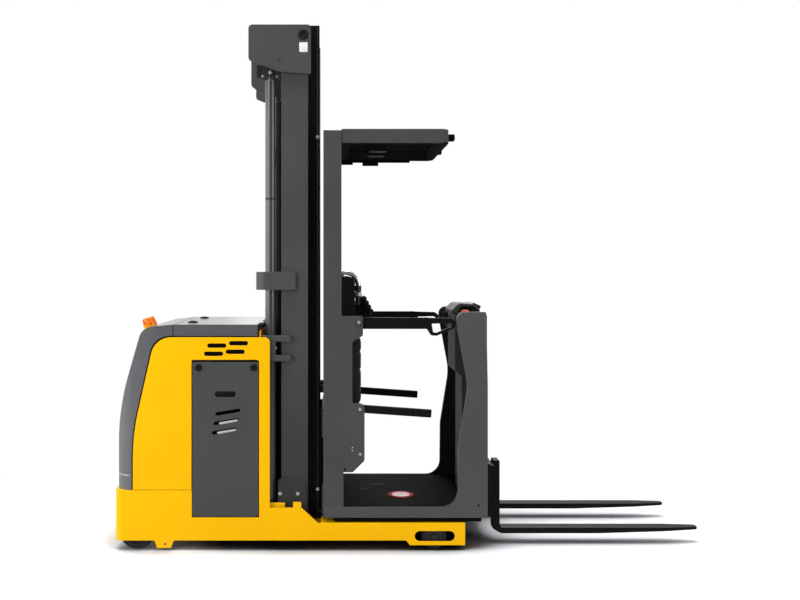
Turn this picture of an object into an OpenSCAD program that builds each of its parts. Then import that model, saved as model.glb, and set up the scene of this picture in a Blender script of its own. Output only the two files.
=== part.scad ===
// Order picker: a mast truck whose cab and forks rise together on a two-stage mast.
// Millimetres. +X points to the fork tips, +Z up; the origin is on the ground under the middle.

/* [Lengths] */
// Rear face to the front edge of the chassis sides
body_length = 855; // [820:5:900]
// Chassis front edge to the back of the mast rails
mast_gap = 60; // [50:1:80]
// Depth of one mast rail
rail_depth = 148; // [130:2:170]
// Step of the inner rail ahead of the outer rail
rail_step = 64; // [60:1:80]
// Free gap between the inner mast and the cab
cab_gap = 22; // [18:1:30]
// Cab length, rear posts to front wall
cab_length = 905; // [860:5:1000]
// Fork carriage depth
fork_carriage_depth = 51; // [45:1:70]
// Fork length ahead of the shank
fork_length = 1124; // [1000:5:1200]

/* [Chassis] */
// Width over the chassis sides
chassis_width = 820; // [800:10:900]
// Space under the base frame
ground_clearance = 56; // [50:1:70]
// Top of the base frame under the hood
base_top = 332; // [325:1:350]
// Top of the yellow side panels
body_top = 1172; // [1120:2:1240]
// Height of the battery lid
lid_height = 63; // [50:1:90]
// Length of the drive bay behind the battery
drive_bay_length = 427; // [415:1:440]
// Steel plate thickness of the base
plate = 10; // [8:1:12]
// Width of one support arm
arm_width = 150; // [148:1:160]
// Top of the support arms
arm_top = 150; // [150:1:156]

/* [Wheels] */
// Drive wheel diameter
drive_wheel_d = 250; // [230:2:260]
// Drive wheel width
drive_wheel_w = 80; // [70:1:90]
// Support wheel diameter
support_wheel_d = 200; // [180:2:204]
// Load wheel diameter
load_wheel_d = 140; // [130:1:142]
// Load wheel width
load_wheel_w = 100; // [80:1:108]

/* [Mast] */
// Top of the mast head with the mast down
mast_top = 2900; // [2600:5:3200]
// Chassis side to the outer mast rail
mast_inset = 60; // [58:1:70]
// Lift cylinder barrel diameter
barrel_d = 60; // [56:1:76]
// Lift rod diameter
rod_d = 40; // [34:1:44]

/* [Cab] */
// Chassis side to the cab side
cab_inset = 10; // [0:1:20]
// Standing height of the platform above the ground
floor_top = 236; // [230:1:260]
// Underside of the overhead guard
guard_bottom = 2241; // [2200:1:2280]
// Depth of the guard frame
guard_depth = 79; // [60:1:90]
// Top of the cab side cheeks
cheek_top = 1310; // [1290:1:1340]

/* [Forks] */
// Distance between the fork centres
fork_spacing = 508; // [480:2:560]
// Width of one fork
fork_width = 82; // [70:1:100]
// Thickness of the fork at the heel
fork_thickness = 31; // [28:1:40]
// Underside of the lowered forks
fork_bottom = 61; // [55:1:70]

/* [Hidden] */
$fn = 64;
yellow = [0.97, 0.70, 0.05];
dark_grey = [0.25, 0.26, 0.27];
mid_grey = [0.42, 0.43, 0.44];
black = [0.08, 0.08, 0.08];
steel = [0.72, 0.73, 0.75];
amber = [0.95, 0.52, 0.08];

overall_length = body_length + mast_gap + rail_depth + rail_step + cab_gap + cab_length + fork_carriage_depth
    + fork_shank() + fork_length;
rear_x = -overall_length / 2;
body_front = rear_x + body_length;
outer_x = body_front + mast_gap;
inner_x = outer_x + rail_step;
inner_front = inner_x + rail_depth;
cab_x = inner_front + cab_gap;
cab_front = cab_x + cab_length;
shank_x = cab_front + fork_carriage_depth;
blade_x = shank_x + fork_shank();
half_body = chassis_width / 2;
half_cab = half_body - cab_inset;
half_mast = half_body - mast_inset;
outer_mast_top = mast_top - 240;
bay_front = rear_x + drive_bay_length;
bulkhead_x = body_front - 59;
join_x = bulkhead_x + 8;
door_bottom = 182;
panel_gap = 7;
lid_bottom = body_top + panel_gap;
lid_top = lid_bottom + lid_height;
seam_x = rear_x + 321;
step_z = floor_top;

function fork_shank() = 35;
function unit(v) = v / norm(v);
function turn(a) = a > 180 ? a - 360 : a < -180 ? a + 360 : a;
function corner(p, q, s, r, n) =
    let (u = unit(p - q), v = unit(s - q), half = acos(u * v) / 2)
    let (c = q + unit(u + v) * r / sin(half))
    let (a = q + u * r / tan(half) - c, b = q + v * r / tan(half) - c)
    let (from = atan2(a.y, a.x), sweep = turn(atan2(b.y, b.x) - from))
    [for (i = [0 : n]) c + r * [cos(from + sweep * i / n), sin(from + sweep * i / n)]];
// Outline of [x, y, corner radius] points with each corner rounded
function rounded(pts, n = 8) =
    let (last = len(pts) - 1)
    let (flat = [for (p = pts) [p[0], p[1]]])
    [for (i = [0 : last]) each pts[i][2] > 0
        ? corner(flat[i == 0 ? last : i - 1], flat[i], flat[i == last ? 0 : i + 1], pts[i][2], n)
        : [flat[i]]];

// Side outline (x, z) extruded from y0 across a thickness
module side_wall(y0, t) {
    translate([0, y0 + t, 0]) rotate([90, 0, 0]) linear_extrude(t) children();
}

module both_sides() {
    children();
    mirror([0, 1, 0]) children();
}

// Box from two opposite corners
module box(a, b) {
    translate(a) cube(b - a);
}

// Pin along Y from y0 to y1
module cross_pin(x, z, y0, y1, r) {
    translate([x, y0, z]) rotate([-90, 0, 0]) cylinder(r = r, h = y1 - y0);
}

// Slot outline of overall length and width, centred
module slot(length, width) {
    square([length - width, width], center = true);
    for (side = [-1, 1]) translate([side * (length - width) / 2, 0]) circle(d = width);
}

// Base frame: skirt and decks, with two support arms ahead of it
skirt_radius = 50;
drive_x = rear_x + 212;
arm_end = cab_front - 126;
arm_in = half_body - arm_width;
load_x = arm_end - 167;
bay_x = load_x - 136;
fairing_bottom = 30;
tray_top = 162;
foot_z = ground_clearance + 12;
trough_x = body_front - 43;
trough_front = inner_front + 10;

module skirt_outline(inset) {
    x0 = rear_x + inset;
    w = half_body - inset;
    r = skirt_radius - inset;
    polygon(rounded([[x0, -w, r], [join_x + inset, -w, 0], [join_x + inset, w, 0], [x0, w, r]]));
}

module skirt() {
    difference() {
        translate([0, 0, ground_clearance]) linear_extrude(base_top - ground_clearance) skirt_outline(0);
        translate([0, 0, ground_clearance - 1]) linear_extrude(base_top) skirt_outline(plate);
        box([bay_front, -half_body - 1, door_bottom], [bulkhead_x, half_body + 1, base_top + 1]);
        box([bulkhead_x - 1, -half_body - 1, step_z], [join_x + 1, half_body + 1, base_top + 1]);
    }
}

module arm_outline() {
    polygon([[join_x, ground_clearance], [bay_x - 22, ground_clearance], [bay_x, fairing_bottom],
        [arm_end, fairing_bottom], [arm_end, arm_top], [inner_front - 6, arm_top], [outer_x + 112, step_z],
        [outer_x + 112, step_z + 31], [outer_x + 68, step_z + 31], [outer_x + 68, step_z], [join_x, step_z]]);
}

module arm() {
    y0 = -half_body + plate;
    y1 = -arm_in - plate;
    difference() {
        side_wall(-half_body, arm_width) arm_outline();
        box([trough_x, y0, foot_z], [arm_end - plate, y1, arm_top - plate]);
        box([trough_x, y0, arm_top - plate - 1], [trough_front, y1, step_z + 40]);
        box([bay_x + 5, y0, 0], [arm_end - plate, y1, load_wheel_d + 6]);
        box([outer_x - 6, y1 - 1, arm_top - 15], [trough_front, -arm_in + 1, step_z + 40]);
        side_wall(-half_body - 1, plate + 2) translate([load_x, 80]) slot(220, 56);
    }
}

module skid_lug() {
    x = rear_x + 220;
    difference() {
        side_wall(-half_body, 12) polygon([[x, ground_clearance + 4], [x + 16, 15], [x + 93, 15],
            [x + 110, ground_clearance + 4]]);
        cross_pin(x + 60, 36, -half_body - 1, -half_body + 13, 7);
    }
}

module base_frame() color(yellow) difference() {
    union() {
        skirt();
        box([rear_x + plate - 1, -half_body + 5, base_top - plate], [bay_front - 2, half_body - 5, base_top]);
        box([bay_front - 12, -half_body + 5, tray_top - 12], [bay_front - 2, half_body - 5, base_top]);
        box([bay_front - 12, -half_body + 5, tray_top - 12], [bulkhead_x + 8, half_body - 5, tray_top]);
        both_sides() skid_lug();
    }
    translate([drive_x, 0, base_top - plate - 1]) cylinder(r = 100, h = plate + 2);
    for (y = [-1, 1]) translate([rear_x, y * half_body, ground_clearance - 1]) difference() {
        translate([-1, -y * skirt_radius / 2 + y * 0.5, 0]) translate([0, -skirt_radius / 2, 0])
            cube([skirt_radius, skirt_radius, base_top]);
        translate([skirt_radius, -y * skirt_radius, -1]) cylinder(r = skirt_radius, h = base_top + 2);
    }
}

module support_arms() color(yellow) {
    both_sides() arm();
    box([join_x, -arm_in - 1, ground_clearance], [trough_front - 20, arm_in + 1, arm_top - 16]);
}

// Upper body: side panels, bulkhead, hood, lid and doors
panel_t = 8;
seam_gap = 2.5;
hood_w = half_body - 1;

// Edge between the hood and the yellow panel, and the hood's outer line, as x offsets from the rear
function hood_edge() = [[rear_x + 96, base_top, 0], [rear_x + 96, 640, 1200], [rear_x + 217, body_top + panel_gap, 110],
    [seam_x, body_top + panel_gap, 0]];
function hood_line(t) = [[rear_x + 7 + t, base_top, 0], [rear_x + 7 + t, 720, 1640 - t],
    [rear_x + 152 + t, lid_top - 17 - t, 80 - t], [seam_x, lid_top - t, 0]];

module side_panel() {
    e = hood_edge();
    x0 = bay_front - 2;
    side_wall(-half_body, panel_t) difference() {
        polygon(rounded([[e[0].x + panel_gap, base_top + seam_gap, 0], [e[1].x + panel_gap, e[1].y, 1200],
            [e[2].x + panel_gap, body_top, 110],
            [body_front, body_top, 28], [body_front, step_z, 0], [bulkhead_x, step_z, 0],
            [bulkhead_x, body_top - 124, 12], [x0, body_top - 124, 12], [x0, base_top + seam_gap, 0]]));
        // Vent slots: share of the door width along, height below the panel top
        for (p = [[0.38, 46], [0.71, 33], [0.33, 91], [0.66, 80]])
            translate([bay_front + door_w * p.x, body_top - p.y]) slot(door_w * 0.29, 24);
    }
}

module side_panels() color(yellow) both_sides() side_panel();

hinge_x = bulkhead_x;
hinge_z = lid_top - 9;
module bulkhead() color(dark_grey) {
    difference() {
        box([bulkhead_x, -half_body + panel_t, tray_top], [bulkhead_x + 8, half_body - panel_t, hinge_z - 30]);
        for (y = [-half_body, half_body - plate])
            box([bulkhead_x - 1, y, tray_top - 1], [join_x + 1, y + plate, step_z]);
    }
    for (y = [-300, 0, 300]) {
        box([bulkhead_x, y - 30, hinge_z - 40], [bulkhead_x + 8, y + 30, hinge_z]);
        cross_pin(hinge_x, hinge_z, y - 30, y + 30, 8);
    }
    cross_pin(hinge_x, hinge_z, -330, 330, 5);
}

module hood_block() intersection() {
    side_wall(-hood_w, hood_w * 2) polygon(rounded(concat(hood_line(0),
        [for (i = [3 : -1 : 0]) hood_edge()[i]]), 10));
    translate([0, 0, base_top]) linear_extrude(lid_top) polygon(rounded([[rear_x + 7, -hood_w, 90],
        [seam_x, -hood_w, 0], [seam_x, hood_w, 0], [rear_x + 7, hood_w, 90]]));
}

module rear_hood() color(mid_grey) difference() {
    hood_block();
    intersection() {
        side_wall(-hood_w + 6, hood_w * 2 - 12) polygon(rounded(concat(
            [[seam_x + 1, base_top - 1, 0], [rear_x + 13, base_top - 1, 0]],
            [for (i = [1 : 2]) hood_line(6)[i]], [[seam_x + 1, lid_top - 6, 0]]), 10));
        translate([0, 0, base_top - 2]) linear_extrude(lid_top) polygon(rounded([[rear_x + 13, 6 - hood_w, 84],
            [seam_x + 1, 6 - hood_w, 0], [seam_x + 1, hood_w - 6, 0], [rear_x + 13, hood_w - 6, 84]]));
    }
}

module battery_lid() color(mid_grey) {
    x0 = seam_x + 5;
    x1 = hinge_x - 9;
    difference() {
        side_wall(-hood_w, hood_w * 2) polygon(rounded([[x0, lid_bottom, 0], [x1, lid_bottom, 0],
            [x1, lid_top, 6], [x0, lid_top, 6]], 4));
        box([x0 + 6, -hood_w + 6, lid_bottom - 1], [x1 - 6, hood_w - 6, lid_top - 6]);
    }
    for (y = [-150, 150]) difference() {
        union() {
            cross_pin(hinge_x, hinge_z, y - 60, y + 60, 9);
            box([x1 - 1, y - 60, hinge_z - 9], [hinge_x, y + 60, hinge_z + 9]);
        }
        cross_pin(hinge_x, hinge_z, y - 61, y + 61, 5.1);
    }
}

module lid_knobs() color(black) for (y = [-230, 230])
    translate([seam_x + 84, y, lid_top]) cylinder(r = 27, h = 11);

door_gap = 5;
door_x = bay_front + 3;
door_w = bulkhead_x - bay_front - 3 - door_gap;
door_top = body_top - 137;
module battery_doors() color(dark_grey) both_sides() difference() {
    side_wall(-half_body + 1, 18) difference() {
        union() {
            polygon(rounded([[door_x, door_bottom + door_gap, 15], [door_x + door_w, door_bottom + door_gap, 15],
                [door_x + door_w, door_top, 8], [door_x, door_top, 8]]));
            // Feet that the door stands on
            for (share = [0.15, 0.85])
                translate([door_x + door_w * share - 14, door_bottom]) square([28, door_gap + 1]);
        }
        for (i = [0 : 2]) translate([door_x + door_w / 2 + 14 - i * 9, door_top - 275 - i * 52])
            rotate(9.5) slot(door_w * 0.39, 20);
    }
    side_wall(-half_body, 11) translate([door_x + door_w / 2, door_top - 176]) slot(door_w * 0.32, 32);
}

module door_knobs() color(black) both_sides() for (x = [door_x + 33, door_x + door_w - 24])
    cross_pin(x, door_top - 29, -half_body - 11, -half_body + 1, 19);

module battery() color(black)
    box([bay_front + 4, -half_body + 30, tray_top], [bulkhead_x - 6, half_body - 30, body_top - 170]);

module beacon() color(amber) difference() {
    translate([rear_x + 178, 130 - half_body, lid_top - 24]) rotate([0, -19, 0]) {
        cylinder(r = 39, h = 26);
        translate([0, 0, 26]) cylinder(r1 = 37, r2 = 35, h = 26);
        translate([0, 0, 52]) cylinder(r1 = 35, r2 = 29, h = 7);
    }
    hood_block();
}

// Wheels
support_x = rear_x + 120;
support_y = half_body - 60;
support_w = 56;
support_r = support_wheel_d / 2;
load_y = half_body - arm_width / 2;
load_r = load_wheel_d / 2;
drive_r = drive_wheel_d / 2;

// Wheel about Y: outer radius, bore radius, width, edge radius
module wheel_ring(r, bore, w, chamfer) {
    rotate([90, 0, 0]) rotate_extrude($fn = 96) polygon([[bore, -w / 2], [r - chamfer, -w / 2],
        [r, chamfer - w / 2], [r, w / 2 - chamfer], [r - chamfer, w / 2], [bore, w / 2]]);
}

module support_wheel() {
    difference() {
        wheel_ring(support_r, 12.1, support_w, 5);
        for (y = [-1, 1]) rotate([90 * y, 0, 0]) translate([0, 0, support_w / 2 - 8]) difference() {
            cylinder(r = support_r - 28, h = 9);
            translate([0, 0, -1]) cylinder(r = 26, h = 11);
        }
    }
}

module support_wheel_left() color(black) translate([support_x, support_y, support_r]) support_wheel();
module support_wheel_right() color(black) translate([support_x, -support_y, support_r]) support_wheel();

module support_brackets() color(dark_grey) both_sides() {
    y = -support_y;
    for (side = [-1, 1]) side_wall(y + side * 38 - 4, 8) difference() {
        polygon(rounded([[support_x - 50, base_top - plate, 0], [support_x - 28, support_r - 26, 26],
            [support_x + 28, support_r - 26, 26], [support_x + 60, base_top - plate, 0]]));
    }
    box([support_x - 50, y - 42, base_top - plate - 10], [support_x + 60, y + 42, base_top - plate]);
    cross_pin(support_x, support_r, y - 42, y + 42, 12);
}

module load_hub() wheel_ring(load_r - 20, 15.1, load_wheel_w, 2);
module load_tyre() wheel_ring(load_r, load_r - 20, load_wheel_w - 4, 5);
module load_hub_left() color(steel) translate([load_x, load_y, load_r]) load_hub();
module load_hub_right() color(steel) translate([load_x, -load_y, load_r]) load_hub();
module load_tyre_left() color(black) translate([load_x, load_y, load_r]) load_tyre();
module load_tyre_right() color(black) translate([load_x, -load_y, load_r]) load_tyre();
module load_axles() color(steel) both_sides()
    cross_pin(load_x, load_r, -half_body + plate, -arm_in - plate, 15);

module drive_hub() color(steel) translate([drive_x, 0, drive_r]) {
    difference() {
        wheel_ring(drive_r - 30, 20.1, drive_wheel_w - 10, 2);
        translate([0, -drive_wheel_w / 2 - 1, 0]) rotate([-90, 0, 0]) difference() {
            cylinder(r = drive_r - 45, h = 22);
            cylinder(r = 40, h = 23);
        }
    }
}
module drive_tyre() color(black) translate([drive_x, 0, drive_r])
    wheel_ring(drive_r, drive_r - 30, drive_wheel_w, 6);

module drive_unit() color(dark_grey) {
    translate([drive_x, 0, base_top - plate - 20]) cylinder(r = 120, h = 20);
    translate([drive_x, 0, base_top - plate - 1]) cylinder(r = 85, h = 300);
    y0 = drive_wheel_w / 2 + 6;
    side_wall(y0, 66) {
        translate([drive_x, drive_r]) circle(r = 78);
        translate([drive_x - 78, drive_r]) square([156, base_top - plate - 19 - drive_r]);
    }
    cross_pin(drive_x, drive_r, -drive_wheel_w / 2 + 4, y0 + 1, 20);
}

// Outer mast and lift cylinders
flange = 14;
web = 12;
rail_w = 70;
barrel_x = body_front - 2;
barrel_y = half_mast - 40;
strap_z = mast_top * 0.4935;
foot_plate_top = step_z + 144;
barrel_top = outer_mast_top - 60;

// Channel section of a rail whose web is at y0 and whose flanges reach inward
module rail_section(x0, y0) {
    difference() {
        translate([x0, y0]) square([rail_depth, rail_w]);
        translate([x0 + flange, y0 + web]) square([rail_depth - flange * 2, rail_w]);
    }
}

module outer_mast() color(dark_grey) {
    both_sides() {
        translate([0, 0, foot_z]) linear_extrude(outer_mast_top - foot_z) rail_section(outer_x, -half_mast);
        side_wall(-half_mast - 14, 15) polygon(rounded([[outer_x - 18, foot_z, 0], [outer_x + 136, foot_z, 0],
            [outer_x + 136, foot_plate_top, 50], [outer_x - 18, foot_plate_top, 12]]));
    }
    for (z = [[foot_z + 80, 100], [body_top - 132, 110], [outer_mast_top - 130, 100]])
        box([outer_x, -half_mast + 5, z[0]], [outer_x + flange, half_mast - 5, z[0] + z[1]]);
    both_sides() for (y = [chain_y - 28, chain_y + 20])
        box([outer_x + flange - 1, y, outer_mast_top - 110], [outer_x + 60, y + 8, outer_mast_top - 50]);
}

module mast_brackets() color(dark_grey) both_sides() side_wall(-half_mast - 34, 34) polygon([
    [join_x, body_top - 134], [outer_x + 53, body_top - 134], [outer_x + 53, body_top - 104],
    [body_front + 29, body_top - 104], [body_front + 29, body_top - 26], [outer_x + 53, body_top - 26],
    [outer_x + 53, body_top + 6], [join_x, body_top + 6]]);

module lift_barrels() color(dark_grey) both_sides() translate([barrel_x, -barrel_y, 0]) difference() {
    translate([0, 0, foot_z]) cylinder(d = barrel_d, h = barrel_top - foot_z);
    translate([0, 0, foot_z + 12]) cylinder(d = barrel_d - 16, h = barrel_top - foot_z - 40);
    translate([0, 0, barrel_top - 40]) cylinder(r = rod_d / 2 + 0.1, h = 50);
}

module barrel_straps() color(dark_grey) both_sides() difference() {
    translate([0, 0, strap_z]) linear_extrude(100) difference() {
        polygon(rounded([[barrel_x - 80, -half_mast - 24, 55], [outer_x + 80, -half_mast - 24, 0],
            [outer_x + 80, -half_mast, 0], [outer_x + 30, -half_mast, 0], [outer_x + 30, 90 - half_mast, 0],
            [barrel_x - 80, 90 - half_mast, 40]]));
        translate([barrel_x, -barrel_y]) circle(d = barrel_d);
    }
    box([outer_x, -half_mast, strap_z - 1], [outer_x + 81, 100 - half_mast, strap_z + 101]);
}

// Inner mast with head, rods, pulleys and chains
inner_y = half_mast - rail_w - 6;
inner_bottom = 150;
carriage_z = [165, 745];
anchor_z = 832;
pulley_x = inner_x + 58;
pulley_z = mast_top - 84;
pulley_r = 70;
chain_y = inner_y - rail_w - 84;
chain_end = anchor_z + 16;
rod_eye_z = barrel_top + 22;
rod_top = barrel_top + 90;
rod_bottom = barrel_top * 0.27;
roller_r = rail_depth / 2 - flange - 0.5;

rail_rise = 22;
module inner_mast() color(black) {
    both_sides() translate([0, 0, inner_bottom]) linear_extrude(mast_top + rail_rise - inner_bottom)
        rail_section(inner_x, -inner_y);
    for (z = [inner_bottom + 10, mast_top * 0.45])
        box([inner_x, 10 - inner_y, z], [inner_x + 10, inner_y - 10, z + 100]);
    box([inner_x, 10 - inner_y, outer_mast_top], [inner_x + 10, inner_y - 10, outer_mast_top + 80]);
}

module head_plate(x0, drop) {
    x1 = inner_front - 47;
    difference() {
        polygon(rounded([[x0, mast_top, 22], [x0, drop + 64, 22], [x0 + 165, drop, 40], [x1, drop - 14, 6],
            [x1, mast_top, 20]]));
        translate([x1 - 42, mast_top - 56]) circle(r = 26);
    }
}

// Plate on the centre line that keeps the hoses off the mast, with a window
module hose_plate(x0) {
    top = mast_top - 20;
    low = outer_mast_top - 85;
    difference() {
        polygon(rounded([[x0, top, 22], [x0, low + 64, 24], [x0 + 84, low, 20], [outer_x - 23, low, 0],
            [outer_x - 23, outer_mast_top, 0], [inner_x, outer_mast_top, 0], [inner_x, top, 10]]));
        polygon(rounded([[x0 + 34, outer_mast_top + 27, 6], [x0 + 82, outer_mast_top + 27, 6],
            [x0 + 82, outer_mast_top + 104, 6], [x0 + 34, outer_mast_top + 104, 6]], 4));
    }
}

module mast_head() color(dark_grey) {
    x0 = rear_x + 734;
    side_wall(-half_mast - 24, 8) head_plate(x0, outer_mast_top - 20);
    side_wall(half_mast + 16, 8) head_plate(x0 - 19, outer_mast_top - 90);
    side_wall(-4, 8) hose_plate(x0 - 17);
    both_sides() box([inner_x, -half_mast - 16, rod_top + 10], [inner_x + 60, -inner_y, mast_top - 40]);
    both_sides() box([barrel_x - 40, -half_mast - 16, rod_top], [inner_x + 1, -inner_y - 20, rod_top + 30]);
}

module lift_rods() color(steel) both_sides() translate([barrel_x, -barrel_y, 0]) {
    translate([0, 0, rod_bottom]) cylinder(d = rod_d, h = rod_eye_z - rod_bottom);
    side_wall(-15, 30) polygon([[-54, rod_eye_z - 10], [-20, rod_eye_z - 16], [20, rod_eye_z - 16],
        [54, rod_eye_z - 10], [54, rod_eye_z + 18], [36, rod_top], [-36, rod_top], [-54, rod_eye_z + 18]]);
    cross_pin(0, rod_eye_z + 20, -30, 30, 16);
}

module chain_pulleys() color(steel) {
    for (y = [-chain_y, chain_y]) translate([pulley_x, y, pulley_z]) difference() {
        union() {
            wheel_ring(pulley_r - 8, 20, 38, 1);
            for (side = [-1, 1]) translate([0, side * 22, 0]) wheel_ring(pulley_r + 6, 20, 6, 1);
        }
    }
    cross_pin(pulley_x, pulley_z, web - inner_y, inner_y - web, 20);
}

module lift_chains() color(black) for (y = [-chain_y, chain_y]) translate([pulley_x, y, 0]) {
    for (side = [-1, 1]) translate([side * (pulley_r - 1) - 7, -18, chain_end])
        cube([14, 36, pulley_z - chain_end]);
    translate([0, 0, pulley_z]) intersection() {
        wheel_ring(pulley_r + 6, pulley_r - 8, 36, 0.5);
        translate([-100, -50, 0]) cube([200, 100, 100]);
    }
}

module mast_rollers() color(steel) both_sides() {
    cross_pin(inner_x + 10, inner_bottom + 70, 14 - half_mast, -inner_y - 10, roller_r);
    cross_pin(inner_x + 10, inner_bottom + 70, -inner_y - 10, -inner_y, 9);
}

// Cab
carriage_y = inner_y - rail_w - 10;
carriage_front = cab_x - 8;
cross_t = 20;
sill_bottom = floor_top - 58;
post_w = 100;
post_top = guard_bottom + guard_depth - 9;
cheek_t = 25;
wall_x = cab_front - 32;

module lift_carriage() color(dark_grey) {
    both_sides()
        box([inner_x + 16, -carriage_y, carriage_z[0]], [carriage_front + 1, 14 - carriage_y, carriage_z[1]]);
    for (z = [[sill_bottom + 2, 150], [carriage_z[1] - 140, 140]])
        box([carriage_front, -half_cab + 60, z[0]], [carriage_front + cross_t, half_cab - 60, z[0] + z[1]]);
    both_sides() for (y = [chain_y - 30, chain_y + 20])
        box([pulley_x + 40, y, anchor_z], [cab_x + 8, y + 10, anchor_z + 36]);
}

module carriage_rollers() color(steel) both_sides() for (z = [carriage_z[0] + 115, carriage_z[1] - 80]) {
    cross_pin(inner_x + rail_depth / 2, z, 4 + web - inner_y, -carriage_y - 14, roller_r);
    cross_pin(inner_x + rail_depth / 2, z, -carriage_y - 14, -carriage_y, 14);
}

module cab_floor() color(black) {
    x0 = carriage_front + cross_t;
    box([x0, -half_cab + cheek_t, sill_bottom], [wall_x, half_cab - cheek_t, floor_top - 10]);
    box([x0 + 50, 6 - half_cab, sill_bottom - 22], [wall_x - 2, half_cab - 6, sill_bottom]);
    box([x0 + 50, 70 - half_cab, sill_bottom - 1], [wall_x - 2, half_cab - 70, sill_bottom + 1]);
}

module floor_mat() color(black)
    box([carriage_front + cross_t + 2, -half_cab + cheek_t + 2, floor_top - 10],
        [wall_x - 2, half_cab - cheek_t - 2, floor_top]);

upper_pivot = [cab_x + 196, cheek_top - 57];
lower_pivot = [cab_x + 202, floor_top + 539];
gate_y = half_cab - 14;
module cab_posts() color(dark_grey) both_sides() {
    x0 = cab_x;
    x1 = cab_x + post_w;
    up = upper_pivot.y;
    low = lower_pivot.y;
    side_wall(-half_cab, 8) polygon(rounded([[x0, floor_top, 0], [x1 + 11, floor_top, 0],
        [x1 + 11, floor_top + 192, 0], [x0 + 162, floor_top + 192, 10], [x0 + 227, floor_top + 256, 20],
        [x0 + 227, low + 31, 28], [x0 + 160, low + 31, 12], [x0 + 160, up - 108, 20], [x0 + 218, up - 73, 12],
        [x0 + 218, up + 35, 10], [x1, up + 35, 0], [x1, post_top, 0], [x0, post_top, 0]]));
    box([x0, -half_cab, floor_top], [x0 + 8, -half_cab + 60, post_top]);
    box([x1 - 8, -half_cab, floor_top + 4], [x1, -half_cab + 40, post_top]);
    for (p = [upper_pivot, lower_pivot]) {
        cross_pin(p.x, p.y, -half_cab + 4, 34 - half_cab, 9);
        cross_pin(p.x, p.y, -half_cab - 8, -half_cab + 1, 14);
    }
}

module cheek_outline() {
    x1 = cab_front;
    polygon(rounded([[cab_x, sill_bottom, 0], [x1, sill_bottom, 0], [x1, 900, 900], [x1 - 8, cheek_top, 10],
        [x1 - 173, cheek_top, 42], [x1 - 169, cheek_top - 75, 20], [x1 - 108, 905, 320], [x1 - 162, 566, 80],
        [x1 - 165, floor_top, 90], [cab_x, floor_top, 0]]));
}

module cab_cheeks() color(dark_grey) both_sides() side_wall(-half_cab, cheek_t) cheek_outline();

module front_wall() color(dark_grey)
    box([wall_x, -half_cab + cheek_t, sill_bottom], [cab_front, half_cab - cheek_t, cheek_top - 20]);

console_top = cheek_top + 196;
shelf_z = cheek_top - 110;
pad_bottom = carriage_z[1] + 5;
pad_top = shelf_z - 22;
module rear_panel() color(dark_grey)
    box([cab_x + 8, 48 - half_cab, carriage_z[1]], [cab_x + 16, half_cab - 48, shelf_z + 50]);

console_x = cab_x + 16;
console_front = cab_x + 180;
module rear_console() color(black) {
    w = half_cab * 0.525;
    x1 = console_front - 30;
    side_wall(-w, w * 2) polygon(rounded([[console_x, carriage_z[1], 0], [x1, carriage_z[1], 15],
        [x1, shelf_z - 20, 10], [console_front, shelf_z, 10], [console_front, console_top, 40],
        [console_x + 40, console_top, 40], [console_x, console_top - 66, 0]]));
    // Hand control on the front of the console
    translate([console_front, 0, shelf_z]) side_wall(-w * 0.6, 50) polygon(rounded([[-1, 50, 0], [100, 56, 8],
        [94, 92, 10], [76, 130, 10], [56, 166, 10], [50, 180, 8], [24, 180, 8], [20, 152, 8], [-1, 130, 0]], 4));
}

module backrest_pad() color(black) {
    w = half_cab * 0.475;
    x0 = console_front - 30;
    side_wall(-w, w * 2) polygon(rounded([[x0, pad_bottom, 6], [cab_x + 222, pad_bottom, 26],
        [cab_x + 222, pad_top, 26], [x0, pad_top, 6]]));
}

rail_bend = 75;
rail_gap = 21;
rail_r = 14;
module grab_rails() color(steel) for (y = [-175, -45])
    translate([console_front + rail_gap - rail_bend, y, console_top + 22 - rail_bend]) {
        rotate([90, 0, 0]) rotate_extrude(angle = 90) translate([rail_bend, 0]) circle(r = rail_r);
        translate([rail_bend, 0, -113]) cylinder(r = 8, h = 113);
        translate([rail_bend, 0, -36]) cylinder(r = 17, h = 34);
        translate([rail_bend, 0, -62]) cylinder(r = 19, h = 22);
        translate([rail_bend, 0, -108]) cylinder(r1 = 12, r2 = 17, h = 46);
        translate([0, 0, rail_bend]) rotate([0, -90, 0]) cylinder(r = rail_r, h = 60);
        translate([rail_bend - rail_gap, -6, -113]) cube([rail_gap, 12, 20]);
        translate([-30, -6, rail_bend - 22]) cube([20, 12, 22]);
    }

ped_x = wall_x - 112;
ped_y = half_cab * 0.365;
cowl_y = half_cab * 0.375;
module pedestal() color(mid_grey) {
    foot_y = half_cab * 0.32;
    neck = shelf_z - 270;
    box([wall_x - 69, -foot_y, floor_top], [wall_x, foot_y, neck + 1]);
    side_wall(-ped_y, ped_y * 2) polygon(rounded([[ped_x, neck + 32, 8], [ped_x + 34, neck, 8],
        [wall_x, neck, 0], [wall_x, cheek_top - 20, 0], [ped_x, cheek_top - 20, 10]]));
    both_sides() box([wall_x - 100, -half_cab + cheek_t, shelf_z - 20], [wall_x, 1 - ped_y, shelf_z]);
}

// Arched cowl over the console, open at the sides
module cowl_block() side_wall(-cowl_y, cowl_y * 2) polygon(rounded([[ped_x - 16, cheek_top - 20, 0],
    [cab_front, cheek_top - 20, 0], [cab_front, cheek_top + 6, 4], [wall_x, cheek_top + 34, 20],
    [ped_x + 20, cheek_top + 38, 34], [ped_x - 16, cheek_top, 10]]));

module cowl() color(mid_grey) difference() {
    cowl_block();
    both_sides() side_wall(-cowl_y - 1, 71) polygon(rounded([[ped_x + 14, cheek_top - 14, 0],
        [cab_front - 8, cheek_top - 14, 0], [cab_front - 8, cheek_top - 4, 4], [wall_x - 6, cheek_top + 20, 12],
        [ped_x + 34, cheek_top + 22, 20]], 4));
}

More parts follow.
